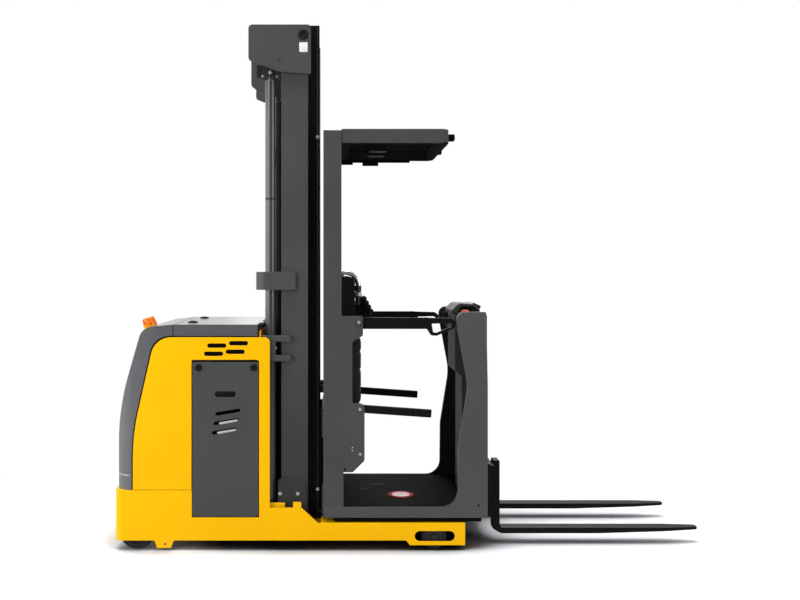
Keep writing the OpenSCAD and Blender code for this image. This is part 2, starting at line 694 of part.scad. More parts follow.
module display() color(black) difference() {
    w = cowl_y * 0.73;
    translate([wall_x - 6, -w, cheek_top + 28]) rotate([0, 25, 0]) cube([50, w * 2, 16]);
    cowl_block();
}

// Steering knob, hand grip and stop button on the console shelf
module controls() color(black) {
    left = (half_cab - cheek_t + ped_y) / 2;
    translate([wall_x - 72, left, shelf_z]) {
        cylinder(r = 22, h = 30);
        translate([0, 0, 30]) cylinder(r = 62, h = 16);
        translate([-40, 0, 46]) cylinder(r = 13, h = 34);
    }
    translate([wall_x - 62, -left - 40, shelf_z]) {
        cylinder(r = 26, h = 20);
        translate([0, 0, 20]) cylinder(r = 13, h = 40);
        translate([0, -34, 64]) rotate([-90, 0, 0]) cylinder(r = 16, h = 68);
    }
    translate([wall_x - 62, 60 - left, shelf_z]) {
        cylinder(r = 14, h = 86);
        translate([0, 0, 86]) cylinder(r1 = 20, r2 = 23, h = 18);
        translate([0, 0, 104]) cylinder(r1 = 23, r2 = 16, h = 8);
    }
}

// Overhead guard
guard_x = cab_x + post_w;
guard_front = guard_x + 596;
guard_y = half_cab - 5;
guard_rail = 45;
guard_top = guard_bottom + guard_depth;

module guard_outline(inset) {
    polygon(rounded([[guard_x + inset, inset - guard_y, 0], [guard_front - inset, inset - guard_y, 50 - inset],
        [guard_front - inset, guard_y - inset, 50 - inset], [guard_x + inset, guard_y - inset, 0]]));
}

module guard_frame() color(dark_grey) translate([0, 0, guard_bottom]) linear_extrude(guard_depth) difference() {
    guard_outline(0);
    guard_outline(guard_rail);
}

bar_count = 7;
bar_w = 42;
module guard_grille() color(black) {
    pitch = (guard_y - guard_rail) * 2 / bar_count;
    for (i = [0 : bar_count - 1])
        translate([guard_x + guard_rail, (i - (bar_count - 1) / 2) * pitch - bar_w / 2, guard_top - 30])
            cube([guard_front - guard_x - guard_rail * 2, bar_w, 14]);
}

module lamps() color(black) {
    pitch = (guard_y - guard_rail) * 2 / bar_count;
    for (y = [-pitch, pitch]) translate([guard_x + 160, y - 35, guard_bottom - 6])
        linear_extrude(guard_depth - 24) polygon(rounded([[0, 0, 16], [112, 0, 16], [112, 70, 16], [0, 70, 16]], 4));
    for (y = [-half_cab * 0.7, half_cab * 0.7])
        translate([guard_front, y - 25, guard_bottom + 28]) cube([40, 50, 34]);
    translate([guard_x + 146, guard_y - 38, guard_bottom - 32]) cube([100, 30, 32]);
    // Cable duct under the far rail
    translate([guard_x, guard_y - 36, guard_bottom - 12]) cube([guard_front - guard_x - 150, 24, 12]);
    translate([guard_x, guard_y - 38, guard_bottom - 25]) cube([84, 28, 25]);
}

// Side gates
bar_t = 24;
module gate_upper() difference() {
    union() {
        side_wall(-gate_y, bar_t) {
            circle(r = 31);
            translate([0, -37]) square([380, 63]);
        }
        side_wall(4 - gate_y, bar_t - 8) difference() {
            polygon(rounded([[372, 25, 0], [512, 21, 18], [540, 0, 16], [528, -32, 18], [431, -75, 16],
                [398, -73, 16], [372, -30, 0]]));
            polygon(rounded([[402, -8, 5], [503, -6, 8], [517, -12, 6], [512, -24, 7], [430, -58, 10],
                [411, -57, 8]]));
        }
    }
    cross_pin(0, 0, -gate_y - 1, bar_t + 1 - gate_y, 9.1);
}

module gate_lower() difference() {
    side_wall(-gate_y, bar_t) {
        circle(r = 28);
        rotate(-4) translate([0, -22]) square([396, 44]);
    }
    cross_pin(0, 0, -gate_y - 1, bar_t + 1 - gate_y, 9.1);
}

module gate_upper_right() color(black) translate([upper_pivot.x, 0, upper_pivot.y]) gate_upper();
module gate_upper_left() color(black) mirror([0, 1, 0]) translate([upper_pivot.x, 0, upper_pivot.y]) gate_upper();
module gate_lower_right() color(black) translate([lower_pivot.x, 0, lower_pivot.y]) gate_lower();
module gate_lower_left() color(black) mirror([0, 1, 0]) translate([lower_pivot.x, 0, lower_pivot.y]) gate_lower();

// Forks
fork_y = fork_spacing / 2;
shank_top = 470;
module fork_carriage() color(black) {
    w = half_cab - 60;
    box([cab_front, -w, sill_bottom - 10], [cab_front + 22, w, shank_top - 10]);
    for (z = [sill_bottom + 20, shank_top - 100])
        box([cab_front + 21, -w, z], [shank_x, w, z + 80]);
    both_sides() side_wall(-w, 14) polygon(rounded([[cab_front + 20, sill_bottom - 10, 0],
        [shank_x - 4, sill_bottom - 10, 10], [shank_x - 4, shank_top - 34, 10], [cab_front + 20, shank_top - 10, 0]]));
}

module fork_outline() {
    tip = blade_x + fork_length;
    polygon(rounded([[shank_x, shank_top, 4], [shank_x, fork_bottom + 98, 0], [shank_x - 33, fork_bottom + 88, 6],
        [shank_x - 20, fork_bottom + 36, 40], [shank_x + 40, fork_bottom, 60], [tip - 560, fork_bottom, 300],
        [tip, fork_bottom + fork_thickness - 14, 5], [tip, fork_bottom + fork_thickness, 5],
        [blade_x, fork_bottom + fork_thickness, 22], [blade_x, shank_top, 4]]));
}

module forks() color(black) both_sides() intersection() {
    side_wall(-fork_y - fork_width / 2, fork_width) fork_outline();
    linear_extrude(600) polygon(rounded([[shank_x - 1, -fork_y - fork_width / 2 - 1, 0],
        [blade_x + fork_length - 200, -fork_y - fork_width / 2 - 1, 0],
        [blade_x + fork_length, -fork_y - fork_width / 2 + 18, 25],
        [blade_x + fork_length, -fork_y + fork_width / 2 - 18, 25],
        [blade_x + fork_length - 200, -fork_y + fork_width / 2 + 1, 0],
        [shank_x - 1, -fork_y + fork_width / 2 + 1, 0]]));
}

base_frame();
support_arms();
side_panels();
bulkhead();
rear_hood();
battery_doors();
door_knobs();
battery();
support_brackets();
load_axles();
beacon();
outer_mast();
mast_brackets();
lift_barrels();
barrel_straps();
battery_lid();
lid_knobs();
drive_unit();
drive_hub();
drive_tyre();
support_wheel_left();
support_wheel_right();
load_hub_left();
load_hub_right();
load_tyre_left();
load_tyre_right();
inner_mast();
mast_head();
lift_rods();
chain_pulleys();
lift_chains();
mast_rollers();
lift_carriage();
carriage_rollers();
cab_floor();
floor_mat();
cab_posts();
cab_cheeks();
front_wall();
rear_panel();
rear_console();
backrest_pad();
grab_rails();
pedestal();
cowl();
display();
controls();
guard_frame();
guard_grille();
lamps();
gate_upper_left();
gate_upper_right();
gate_lower_left();
gate_lower_right();
fork_carriage();
forks();
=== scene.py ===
"""Order picker: finishes, fasteners, chains, mat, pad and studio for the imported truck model."""

import math

import bmesh
import bpy
from bpy.props import FloatProperty, FloatVectorProperty, IntProperty, PointerProperty
from bpy.types import Operator, Panel, PropertyGroup
from mathutils import Matrix, Vector


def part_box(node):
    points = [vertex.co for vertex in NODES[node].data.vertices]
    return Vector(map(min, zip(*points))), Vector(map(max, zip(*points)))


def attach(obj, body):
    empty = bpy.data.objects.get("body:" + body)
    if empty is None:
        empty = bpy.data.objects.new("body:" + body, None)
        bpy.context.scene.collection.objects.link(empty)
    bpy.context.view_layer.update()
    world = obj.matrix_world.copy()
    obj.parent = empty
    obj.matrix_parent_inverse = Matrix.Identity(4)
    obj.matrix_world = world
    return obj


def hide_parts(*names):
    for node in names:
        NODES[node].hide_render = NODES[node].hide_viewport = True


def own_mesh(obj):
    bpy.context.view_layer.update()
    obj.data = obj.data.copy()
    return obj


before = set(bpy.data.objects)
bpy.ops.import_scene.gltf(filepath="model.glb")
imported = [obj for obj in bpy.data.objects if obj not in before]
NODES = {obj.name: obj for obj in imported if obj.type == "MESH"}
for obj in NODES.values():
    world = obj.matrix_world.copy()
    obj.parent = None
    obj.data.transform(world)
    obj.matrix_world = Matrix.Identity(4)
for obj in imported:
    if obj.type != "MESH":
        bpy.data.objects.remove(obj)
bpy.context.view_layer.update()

bl_info = {
    "name": "Order Picker Dressing",
    "version": (1, 0, 0),
    "blender": (4, 5, 0),
    "location": "View3D > Sidebar > Order Picker",
    "description": "Dresses the order picker's solids with finishes, fasteners, chains and soft parts",
    "category": "Object",
}

SIDES = (-1, 1)
UP = (0, 0, 1)
ORIGIN = (0.0, 0.0, 0.0)
EVEN = (1.0, 1.0, 1.0)
QUARTER_TURN = (math.pi / 2, 0.0, 0.0)
BLACK = (0.0045, 0.0045, 0.0048)


class Stations:
    """Places on the truck in metres, most of them read from the solids."""

    cab_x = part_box("cab_posts")[0].x
    cheek_front, half_cab, cheek_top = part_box("cab_cheeks")[1]
    mat_low, mat_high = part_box("floor_mat")
    pedestal_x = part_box("pedestal")[0].x
    foot_reach, foot_plate = 0.018, 0.014
    outer_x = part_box("outer_mast")[0].x + foot_reach
    half_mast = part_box("outer_mast")[1].y - foot_plate
    inner_front, inner_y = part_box("inner_mast")[1].xy
    head_x, head_y, head_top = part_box("mast_head")[1]
    chain_low, chain_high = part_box("lift_chains")
    barrel_low, barrel_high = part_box("lift_barrels")
    rod_x = (barrel_low.x + barrel_high.x) / 2
    rod_y = barrel_high.y - (barrel_high.x - barrel_low.x) / 2
    base_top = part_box("base_frame")[1].z
    hood_low, hood_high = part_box("rear_hood")
    lid_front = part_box("battery_lid")[1].x
    door_low, door_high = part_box("battery_doors")
    door_width = door_high.x - door_low.x
    door_x = (door_low.x + door_high.x) / 2
    panel_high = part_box("side_panels")[1]
    guard_low, guard_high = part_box("guard_frame")
    wall_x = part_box("front_wall")[0].x
    arm_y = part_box("support_arms")[1].y
    cab_low_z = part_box("cab_floor")[0].z
    load_x = (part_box("load_hub_left")[0].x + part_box("load_hub_left")[1].x) / 2
    console_low, console_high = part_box("rear_console")
    rails_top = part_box("grab_rails")[1].z
    beacon_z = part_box("beacon")[0].z
    pad_low, pad_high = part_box("backrest_pad")

    # Heights that no solid's box gives
    arm_top = 0.150
    pocket_z = 0.076
    ledge_z = 0.2245
    barrel_ring_z = 1.939
    foot_bolt_z = 0.302
    rail_bolt_low_z, rail_bolt_high_z = 0.305, 2.292
    post_bolt_z = 0.528
    rivet_low_z, rivet_high_z = 0.548, 0.564
    post_plug_z, cheek_plug_z = 0.444, 0.246


def colour(name, description, value):
    return FloatVectorProperty(name=name, description=description, default=value, size=3,
                               min=0.0, max=1.0, subtype="COLOR")


def length(name, description, value):
    return FloatProperty(name=name, description=description, default=value, min=0.0, unit="LENGTH",
                         precision=4)


class TruckFinishes(PropertyGroup):
    """Colours of the truck's finishes."""

    yellow: colour("Yellow paint", "Chassis paint", (0.965, 0.505, 0.0))
    grey: colour("Grey paint", "Mast and cab paint", (0.057, 0.0575, 0.058))
    hood: colour("Hood plastic", "Moulded hood and lid", (0.082, 0.085, 0.092))
    console: colour("Console plastic", "Pedestal and cowl", (0.034, 0.036, 0.035))
    black: colour("Black paint", "Forks and gates", BLACK)
    amber: colour("Amber lens", "Beacon lens", (0.82, 0.17, 0.003))
    steel: colour("Steel", "Hubs, pulleys and rollers", (0.62, 0.63, 0.65))
    rubber: colour("Rubber", "Tyres and mat", (0.014, 0.014, 0.014))


class TruckSizes(PropertyGroup):
    """Sizes of the pieces that dress the truck."""

    chain_pitch: length("Chain pitch", "Distance between the leaf chain's pins", 0.0254)
    chain_plate: length("Chain plate", "Height of one leaf plate", 0.022)
    rib_pitch: length("Rib pitch", "Distance between the mat's ribs", 0.013)
    rib_height: length("Rib height", "Height of the mat's ribs", 0.003)
    sign_radius: length("Mat sign", "Radius of the blank round sign on the mat", 0.075)
    pad_voxel: length("Pad voxel", "Remesh size of the backrest", 0.006)
    pad_channels: IntProperty(name="Pad channels", description="Sewn channels in the backrest", default=4,
                              min=1, max=8)


class StudioSettings(PropertyGroup):
    """Camera and studio of the product picture."""

    camera_at: FloatVectorProperty(name="Camera", description="Camera place", size=3, unit="LENGTH",
                                   default=(-0.4556, -5.156, 1.533))
    lens: FloatProperty(name="Lens", description="Focal length in millimetres", default=38.9)
    shift: FloatVectorProperty(name="Shift", description="Lens shift", size=2, default=(0.0896, -0.0356))


def sizes():
    return bpy.context.scene.order_picker_sizes


def math_node(operation, reflected=False):
    """A method of Wire that adds one Math node."""
    def method(self, other=0.0):
        first, second = (other, self) if reflected else (self, other)
        node = self.finish.node("ShaderNodeMath", {"operation": operation}, {0: first, 1: second})
        return Wire(self.finish, node.outputs[0])
    return method


class Wire:
    """A shader value. Its operators add Math nodes, so maths reads as it is written."""

    def __init__(self, finish, socket):
        self.finish = finish
        self.socket = socket

    __add__ = __radd__ = math_node("ADD")
    __sub__ = math_node("SUBTRACT")
    __rsub__ = math_node("SUBTRACT", reflected=True)
    __mul__ = __rmul__ = math_node("MULTIPLY")
    __pow__ = math_node("POWER")
    __abs__ = math_node("ABSOLUTE")
    sine = math_node("SINE")
    larger = math_node("MAXIMUM")

    def step(self, low, high):
        """0 below low, 1 above high, smooth between."""
        node = self.finish.node("ShaderNodeMapRange", {"interpolation_type": "SMOOTHSTEP"},
                                {"Value": self, "From Min": low, "From Max": high})
        return Wire(self.finish, node.outputs[0])

    def below(self, low, high):
        """1 below low, 0 above high, smooth between."""
        return 1 - self.step(low, high)


class Tree:
    """A node tree that is filled by calls."""

    def __init__(self, tree):
        self.tree = tree

    def node(self, kind, settings=None, values=None):
        made = self.tree.nodes.new(kind)
        for key, value in (settings or {}).items():
            setattr(made, key, value)
        for key, value in (values or {}).items():
            for part in value if isinstance(value, list) else [value]:
                self.feed(made.inputs[key], part)
        return made

    def feed(self, socket, value):
        """Link a wire or a socket to an input, or set the input's value."""
        if isinstance(value, Wire):
            value = value.socket
        if isinstance(value, bpy.types.NodeSocket):
            self.tree.links.new(value, socket)
        elif socket.type == "RGBA" and len(value) == 3:
            socket.default_value = (*value, 1.0)
        else:
            socket.default_value = value


class Finish(Tree):
    """One procedural material on a Principled shader."""

    def __init__(self, name):
        self.material = bpy.data.materials.new(name)
        self.material.use_nodes = True
        super().__init__(self.material.node_tree)
        self.shader = self.tree.nodes["Principled BSDF"]

    def place(self, scale=EVEN, move=ORIGIN):
        """Object coordinates, moved and then scaled."""
        here = self.node("ShaderNodeTexCoord").outputs["Object"]
        moved = self.node("ShaderNodeVectorMath", {"operation": "SUBTRACT"}, {0: here, 1: move})
        scaled = self.node("ShaderNodeVectorMath", {"operation": "MULTIPLY"},
                           {0: moved.outputs[0], 1: scale})
        return scaled.outputs[0]

    def axes(self, move=ORIGIN):
        split = self.node("ShaderNodeSeparateXYZ", None, {0: self.place(move=move)})
        return [Wire(self, out) for out in split.outputs]

    def noise(self, scale, detail=3.0, stretch=EVEN):
        made = self.node("ShaderNodeTexNoise", None,
                         {"Vector": self.place(stretch), "Scale": scale, "Detail": detail})
        return Wire(self, made.outputs[0])

    def cells(self, scale):
        made = self.node("ShaderNodeTexVoronoi", None, {"Vector": self.place(), "Scale": scale})
        return Wire(self, made.outputs["Distance"])

    def edges(self, radius):
        """Mask of the sharp edges within a radius, and the normal that rounds them."""
        soft = self.node("ShaderNodeBevel", {"samples": 4}, {"Radius": radius}).outputs[0]
        flat = self.node("ShaderNodeNewGeometry").outputs["Normal"]
        alike = self.node("ShaderNodeVectorMath", {"operation": "DOT_PRODUCT"}, {0: soft, 1: flat})
        return (1 - Wire(self, alike.outputs["Value"])).step(0.01, 0.22), soft

    def mix(self, factor, first, second):
        made = self.node("ShaderNodeMix", {"data_type": "RGBA"}, {"Factor": factor})
        colours = [s for s in made.inputs if s.type == "RGBA"]
        self.feed(colours[0], first)
        self.feed(colours[1], second)
        return [s for s in made.outputs if s.type == "RGBA"][0]

    def bump(self, height, strength, distance, normal=None):
        made = self.node("ShaderNodeBump", None,
                         {"Height": height, "Strength": strength, "Distance": distance})
        if normal is not None:
            self.feed(made.inputs["Normal"], normal)
        self.feed(self.shader.inputs["Normal"], made.outputs[0])

    def surface(self, **values):
        for key, value in values.items():
            self.feed(self.shader.inputs[key.replace("_", " ")], value)
        return self.material


def tint(value, factor):
    return tuple(min(1.0, c * factor) for c in value)


def sprayed_paint(name, base, shade=None):
    """Sprayed machine paint: tone drift, orange peel, patchy pale edges that are partly wear and partly
    painted highlight, dust low down; shade masks faces painted near black as shade.
    """
    f = Finish(name)
    x, y, z = f.axes()
    edge, soft = f.edges(0.0035)
    dust = z.below(0.03, 0.16) * f.noise(18.0, 5.0).step(0.48, 0.80) * 0.10
    wear = edge * f.noise(70.0, 4.0).step(0.42, 0.62)
    tone = f.mix(f.noise(3.0, 2.0).step(0.3, 0.7), tint(base, 0.965), tint(base, 1.02))
    # Pale patches on the edges: partly wear, partly a painted highlight
    tone = f.mix(wear * 0.35, tone, (0.98, 0.66, 0.06))
    if shade is not None:
        tone = f.mix(shade(x, y, z), tone, (0.004, 0.004, 0.004))
    f.bump(f.noise(420.0, 2.0), 0.05, 0.0010, soft)
    return f.surface(Base_Color=f.mix(dust, tone, (0.20, 0.17, 0.12)),
                     Roughness=0.30 + f.noise(60.0, 3.0) * 0.06 + dust * 0.3,
                     Specular_IOR_Level=0.10)


def powder_coat(name, base, gloss, shade=None, spec=0.30, second=BLACK):
    """Satin powder coat with a fine pebble, rubbed patches, and pale edges that are partly wear and partly a
    painted highlight on every edge; shade masks faces in a second colour: painted shade, and on the inner
    mast a painted highlight line.
    """
    f = Finish(name)
    edge, soft = f.edges(0.0030)
    rub = f.noise(9.0, 6.0, (1.0, 1.0, 0.35)).step(0.55, 0.80)
    tone = f.mix(f.noise(2.5, 2.0).step(0.3, 0.7), tint(base, 0.93), tint(base, 1.06))
    tone = f.mix(rub * 0.25, tone, tint(base, 1.15))
    # Every edge is lightened a little as a painted highlight, more where rubbed
    tone = f.mix(edge * (0.35 + rub * 0.45), tone, tint(base, 2.1))
    rough = gloss + rub * 0.08 + f.noise(180.0, 2.0) * 0.08
    if shade is not None:
        mask = shade(*f.axes())
        tone = f.mix(mask, tone, second)
        rough = rough + mask * 0.40
    f.bump(f.noise(900.0, 1.0), 0.10, 0.0006, soft)
    return f.surface(Base_Color=tone, Roughness=rough, Specular_IOR_Level=spec)


def cylinder_paint(name, base):
    """Glossy paint of the lift barrels: a black joint ring part way up, their inner sides darkened as
    painted shade.
    """
    f = Finish(name)
    _, y, z = f.axes()
    along = (1.0, 1.0, 0.2)
    ring = abs(z - Stations.barrel_ring_z).below(0.0035, 0.0050)
    tone = f.mix(f.noise(2.0, 3.0, along).step(0.3, 0.7), tint(base, 0.9), tint(base, 1.1))
    f.bump(f.noise(300.0, 2.0, along), 0.04, 0.0006)
    # The barrels' inner sides are painted dark as shade
    inner = abs(y).below(Stations.rod_y - 0.010, Stations.rod_y + 0.006)
    dark = ring.larger(inner)
    return f.surface(Base_Color=f.mix(dark, tone, (0.003, 0.003, 0.003)),
                     Roughness=0.17 + f.noise(30.0, 3.0) * 0.06 + dark * 0.5, Coat_Weight=0.35 * (1 - dark),
                     Coat_Roughness=0.08, Specular_IOR_Level=0.35)


def hood_plastic(name, base):
    """Moulded hood in glossy metallic grey, paler towards the rear as painted light and with a painted
    highlight on its edges, its grain finer than its flow marks.
    """
    f = Finish(name)
    x = f.axes()[0]
    edge, soft = f.edges(0.0040)
    tone = f.mix(f.noise(4.0, 3.0).step(0.35, 0.65), tint(base, 0.95), tint(base, 1.06))
    # Painted light: paler towards the rear
    tone = f.mix(x.step(Stations.hood_low.x, Stations.hood_high.x), tint(base, 1.45), tone)
    f.bump(f.cells(1400.0), 0.05, 0.0005, soft)
    # Painted highlight on the edges
    return f.surface(Base_Color=f.mix(edge * 0.5, tone, tint(base, 1.8)),
                     Roughness=0.27 + f.noise(24.0, 4.0) * 0.06, Coat_Weight=0.30, Coat_Roughness=0.10)


def moulded_plastic(name, base, gloss, grain, spec=0.35):
    """Moulded plastic with a leather-like grain and a painted highlight on its edges."""
    f = Finish(name)
    edge, soft = f.edges(0.0020)
    tone = f.mix(f.noise(5.0, 3.0).step(0.35, 0.65), tint(base, 0.95), tint(base, 1.05))
    f.bump(f.cells(grain), 0.10, 0.0006, soft)
    # Painted highlight on the edges
    return f.surface(Base_Color=f.mix(edge * 0.4, tone, tint(base, 1.6)),
                     Roughness=gloss + f.noise(40.0, 4.0) * 0.10, Specular_IOR_Level=spec)


def machined_steel(name, base, gloss, stretch, shade=None):
    """Bright steel with fine tool marks along one direction; shade gives a mask of black painted parts."""
    f = Finish(name)
    marks = f.noise(140.0, 4.0, stretch)
    f.bump(marks, 0.05, 0.0004)
    tone = f.mix(marks.step(0.3, 0.7), tint(base, 0.86), tint(base, 1.06))
    rough = gloss + marks * 0.12
    if shade is None:
        return f.surface(Base_Color=tone, Metallic=1.0, Roughness=rough)
    dark = shade(*f.axes())
    return f.surface(Base_Color=f.mix(dark, tone, (0.016, 0.016, 0.017)), Metallic=1 - dark,
                     Roughness=rough + dark * 0.30)


def oiled_steel(name):
    """Dark oiled chain steel with dried grease in patches."""
    f = Finish(name)
    grease = f.noise(60.0, 5.0).step(0.45, 0.65)
    f.bump(f.noise(300.0, 3.0), 0.15, 0.0006)
    return f.surface(Base_Color=f.mix(grease, (0.10, 0.095, 0.09), (0.020, 0.017, 0.013)),
                     Metallic=1 - grease * 0.7, Roughness=0.32 + grease * 0.25)


def wheel_rubber(name, base):
    """Wheel rubber with scuffs and dust."""
    f = Finish(name)
    scuff = f.noise(45.0, 6.0).step(0.50, 0.75)
    f.bump(f.noise(260.0, 4.0), 0.20, 0.0010)
    return f.surface(Base_Color=f.mix(scuff * 0.6, base, (0.050, 0.046, 0.042)),
                     Roughness=0.62 + scuff * 0.18, Specular_IOR_Level=0.30)


def mat_rubber(name, base):
    """Ribbed mat rubber: grooves darkened as painted shade, rib crests paler as painted light and less so
    towards the pedestal, worn patches, scuffs along the cab.
    """
    f = Finish(name)
    x, _, z = f.axes()
    crest = z.step(Stations.mat_high.z + 0.0002, Stations.mat_high.z + 0.0026)
    crest_light = 1 - x.step(Stations.mat_low.x + 0.15, Stations.pedestal_x) * 0.75
    wear = f.noise(7.0, 4.0).step(0.50, 0.80)
    scuff = f.noise(9.0, 4.0, (0.30, 1.0, 1.0)).step(0.60, 0.70)
    f.bump(f.noise(500.0, 2.0), 0.15, 0.0006)
    tone = f.mix(wear * 0.6, tint(base, 1.3), (0.045, 0.045, 0.042))
    # Painted shade in the grooves and painted light on the crests
    tone = f.mix(crest * crest_light, tint(base, 0.05), tone)
    return f.surface(Base_Color=f.mix(scuff * crest * 0.6, tone, (0.10, 0.098, 0.092)),
                     Roughness=0.70 + wear * 0.16, Specular_IOR_Level=0.015)


def lens_plastic(name, base, glow, low, high, gloss, coat):
    """Lens with fine prisms; glow is a colour painted at its foot as a painted glow."""
    f = Finish(name)
    _, y, z = f.axes()
    f.bump((y * 900.0).sine(), 0.25, 0.0010)
    tone = f.mix(f.noise(60.0, 3.0).step(0.35, 0.65), tint(base, 0.75), tint(base, 1.10))
    return f.surface(Base_Color=f.mix(z.below(low, high), tone, glow),
                     Roughness=gloss + f.noise(80.0, 2.0) * 0.06,
                     Coat_Weight=coat, Coat_Roughness=0.06, Specular_IOR_Level=0.25)


def screen_glass(name):
    """Dark display glass with a faint cool tint inside its border."""
    f = Finish(name)
    low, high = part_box("display")
    x, y, _ = f.axes(((low.x + high.x) / 2, (low.y + high.y) / 2, (low.z + high.z) / 2))
    inside = abs(y).below(0.094, 0.097) * abs(x).below(0.016, 0.018)
    smear = f.noise(20.0, 4.0)
    return f.surface(Base_Color=f.mix(inside, (0.010, 0.011, 0.012), (0.035, 0.075, 0.125)),
                     Roughness=0.10 + smear * 0.12, Coat_Weight=0.6, Coat_Roughness=0.05)


def pad_vinyl(name):
    """Soft black vinyl with a fine grain."""
    f = Finish(name)
    f.bump(f.cells(420.0), 0.25, 0.0012)
    tone = f.mix(f.noise(12.0, 4.0).step(0.35, 0.7), (0.006, 0.006, 0.0065), (0.014, 0.014, 0.0145))
    return f.surface(Base_Color=tone, Roughness=0.46 + f.noise(60.0, 3.0) * 0.12, Specular_IOR_Level=0.30)


# Masks of the faces that differ in colour from the rest of their piece: most paint shade, one paints a
# highlight line, and the rod eye and rail sleeves are black parts
# Inner faces of the cheeks and the sill's rim by the mat, painted black as shade
def cheek_painted_shade(x, y, z):
    s = Stations
    inner = abs(y).below(s.half_cab - 0.0245, s.half_cab - 0.0235)
    floor = s.mat_high.z
    sill = z.step(floor - 0.004, floor - 0.002) * z.below(floor + 0.03, floor + 0.06)
    sill = sill * x.below(s.cheek_front - 0.06, s.cheek_front - 0.05)
    return inner.larger(sill * abs(y).below(s.half_cab - 0.0012, s.half_cab - 0.0004))


# The front wall's inner face, painted black as shade
def wall_painted_shade(x, y, z):
    return x.below(Stations.wall_x + 0.0005, Stations.wall_x + 0.0015)


# Inner faces and underside of the guard frame, painted black as shade
def guard_painted_shade(x, y, z):
    low, high = Stations.guard_low, Stations.guard_high
    rail, slack = 0.045, 0.0006
    across = abs(y).below(high.y - rail, high.y - rail + slack)
    front = x.below(high.x - rail, high.x - rail + slack)
    rear = x.step(low.x + rail - slack, low.x + rail)
    under = z.below(low.z + 0.0058, low.z + 0.0062) * abs(y).below(high.y - 0.0060, high.y - 0.0050)
    return (across * front * rear).larger(under)


# Inner faces of the head plates and the middle behind the rod, painted black as shade
def head_painted_shade(x, y, z):
    s = Stations
    inner = abs(y).step(0.02, 0.03) * abs(y).below(s.head_y - 0.0078, s.head_y - 0.0070)
    centre = abs(y).below(0.01, 0.02) * x.step(s.rod_x - 0.004, s.rod_x)
    return centre.larger(inner * z.step(s.head_top - 0.200, s.head_top - 0.195))


# A strip just above the panels in a darker yellow: the yellow panel behind, with painted shade
def behind_lid(x, y, z):
    low = Stations.panel_high.z
    return z.step(low - 0.004, low - 0.002) * z.below(low + 0.036, low + 0.040) * 0.8


# Inner faces of the load wheels' pockets and of the arms by the mast, painted black as shade
def pocket_painted_shade(x, y, z):
    s = Stations
    inside = abs(y).below(s.arm_y - 0.0045, s.arm_y - 0.0040)
    pocket = abs(x - s.load_x).below(0.128, 0.130) * z.below(s.arm_top - 0.0022, s.arm_top - 0.0018)
    pocket = pocket * abs(y).step(s.arm_y - 0.1235, s.arm_y - 0.1225)
    well = x.below(s.outer_x + 0.110, s.outer_x + 0.112)
    return inside * pocket.larger(well)


# Painted shade: the foot plates darker, and the mast darker towards the bottom
def mast_painted_shade(x, y, z):
    plates = abs(y).step(Stations.half_mast + 0.0008, Stations.half_mast + 0.0016) * 0.55
    return plates.larger(z.below(0.30, 1.30) * 0.42)


# A pale line down the inner mast's rail sides: a painted highlight
def inner_mast_painted_highlight(x, y, z):
    return abs(x - Stations.inner_front + 0.011).below(0.0014, 0.0026) * 0.8


def rod_eye(x, y, z):
    return z.step(Stations.barrel_high.z + 0.002, Stations.barrel_high.z + 0.004)


def rail_sleeves(x, y, z):
    top = Stations.rails_top - 0.091
    collar = abs(z - (top - 0.049)).step(0.010, 0.011)
    return z.below(top, top + 0.001) * (0.45 + collar * 0.55)


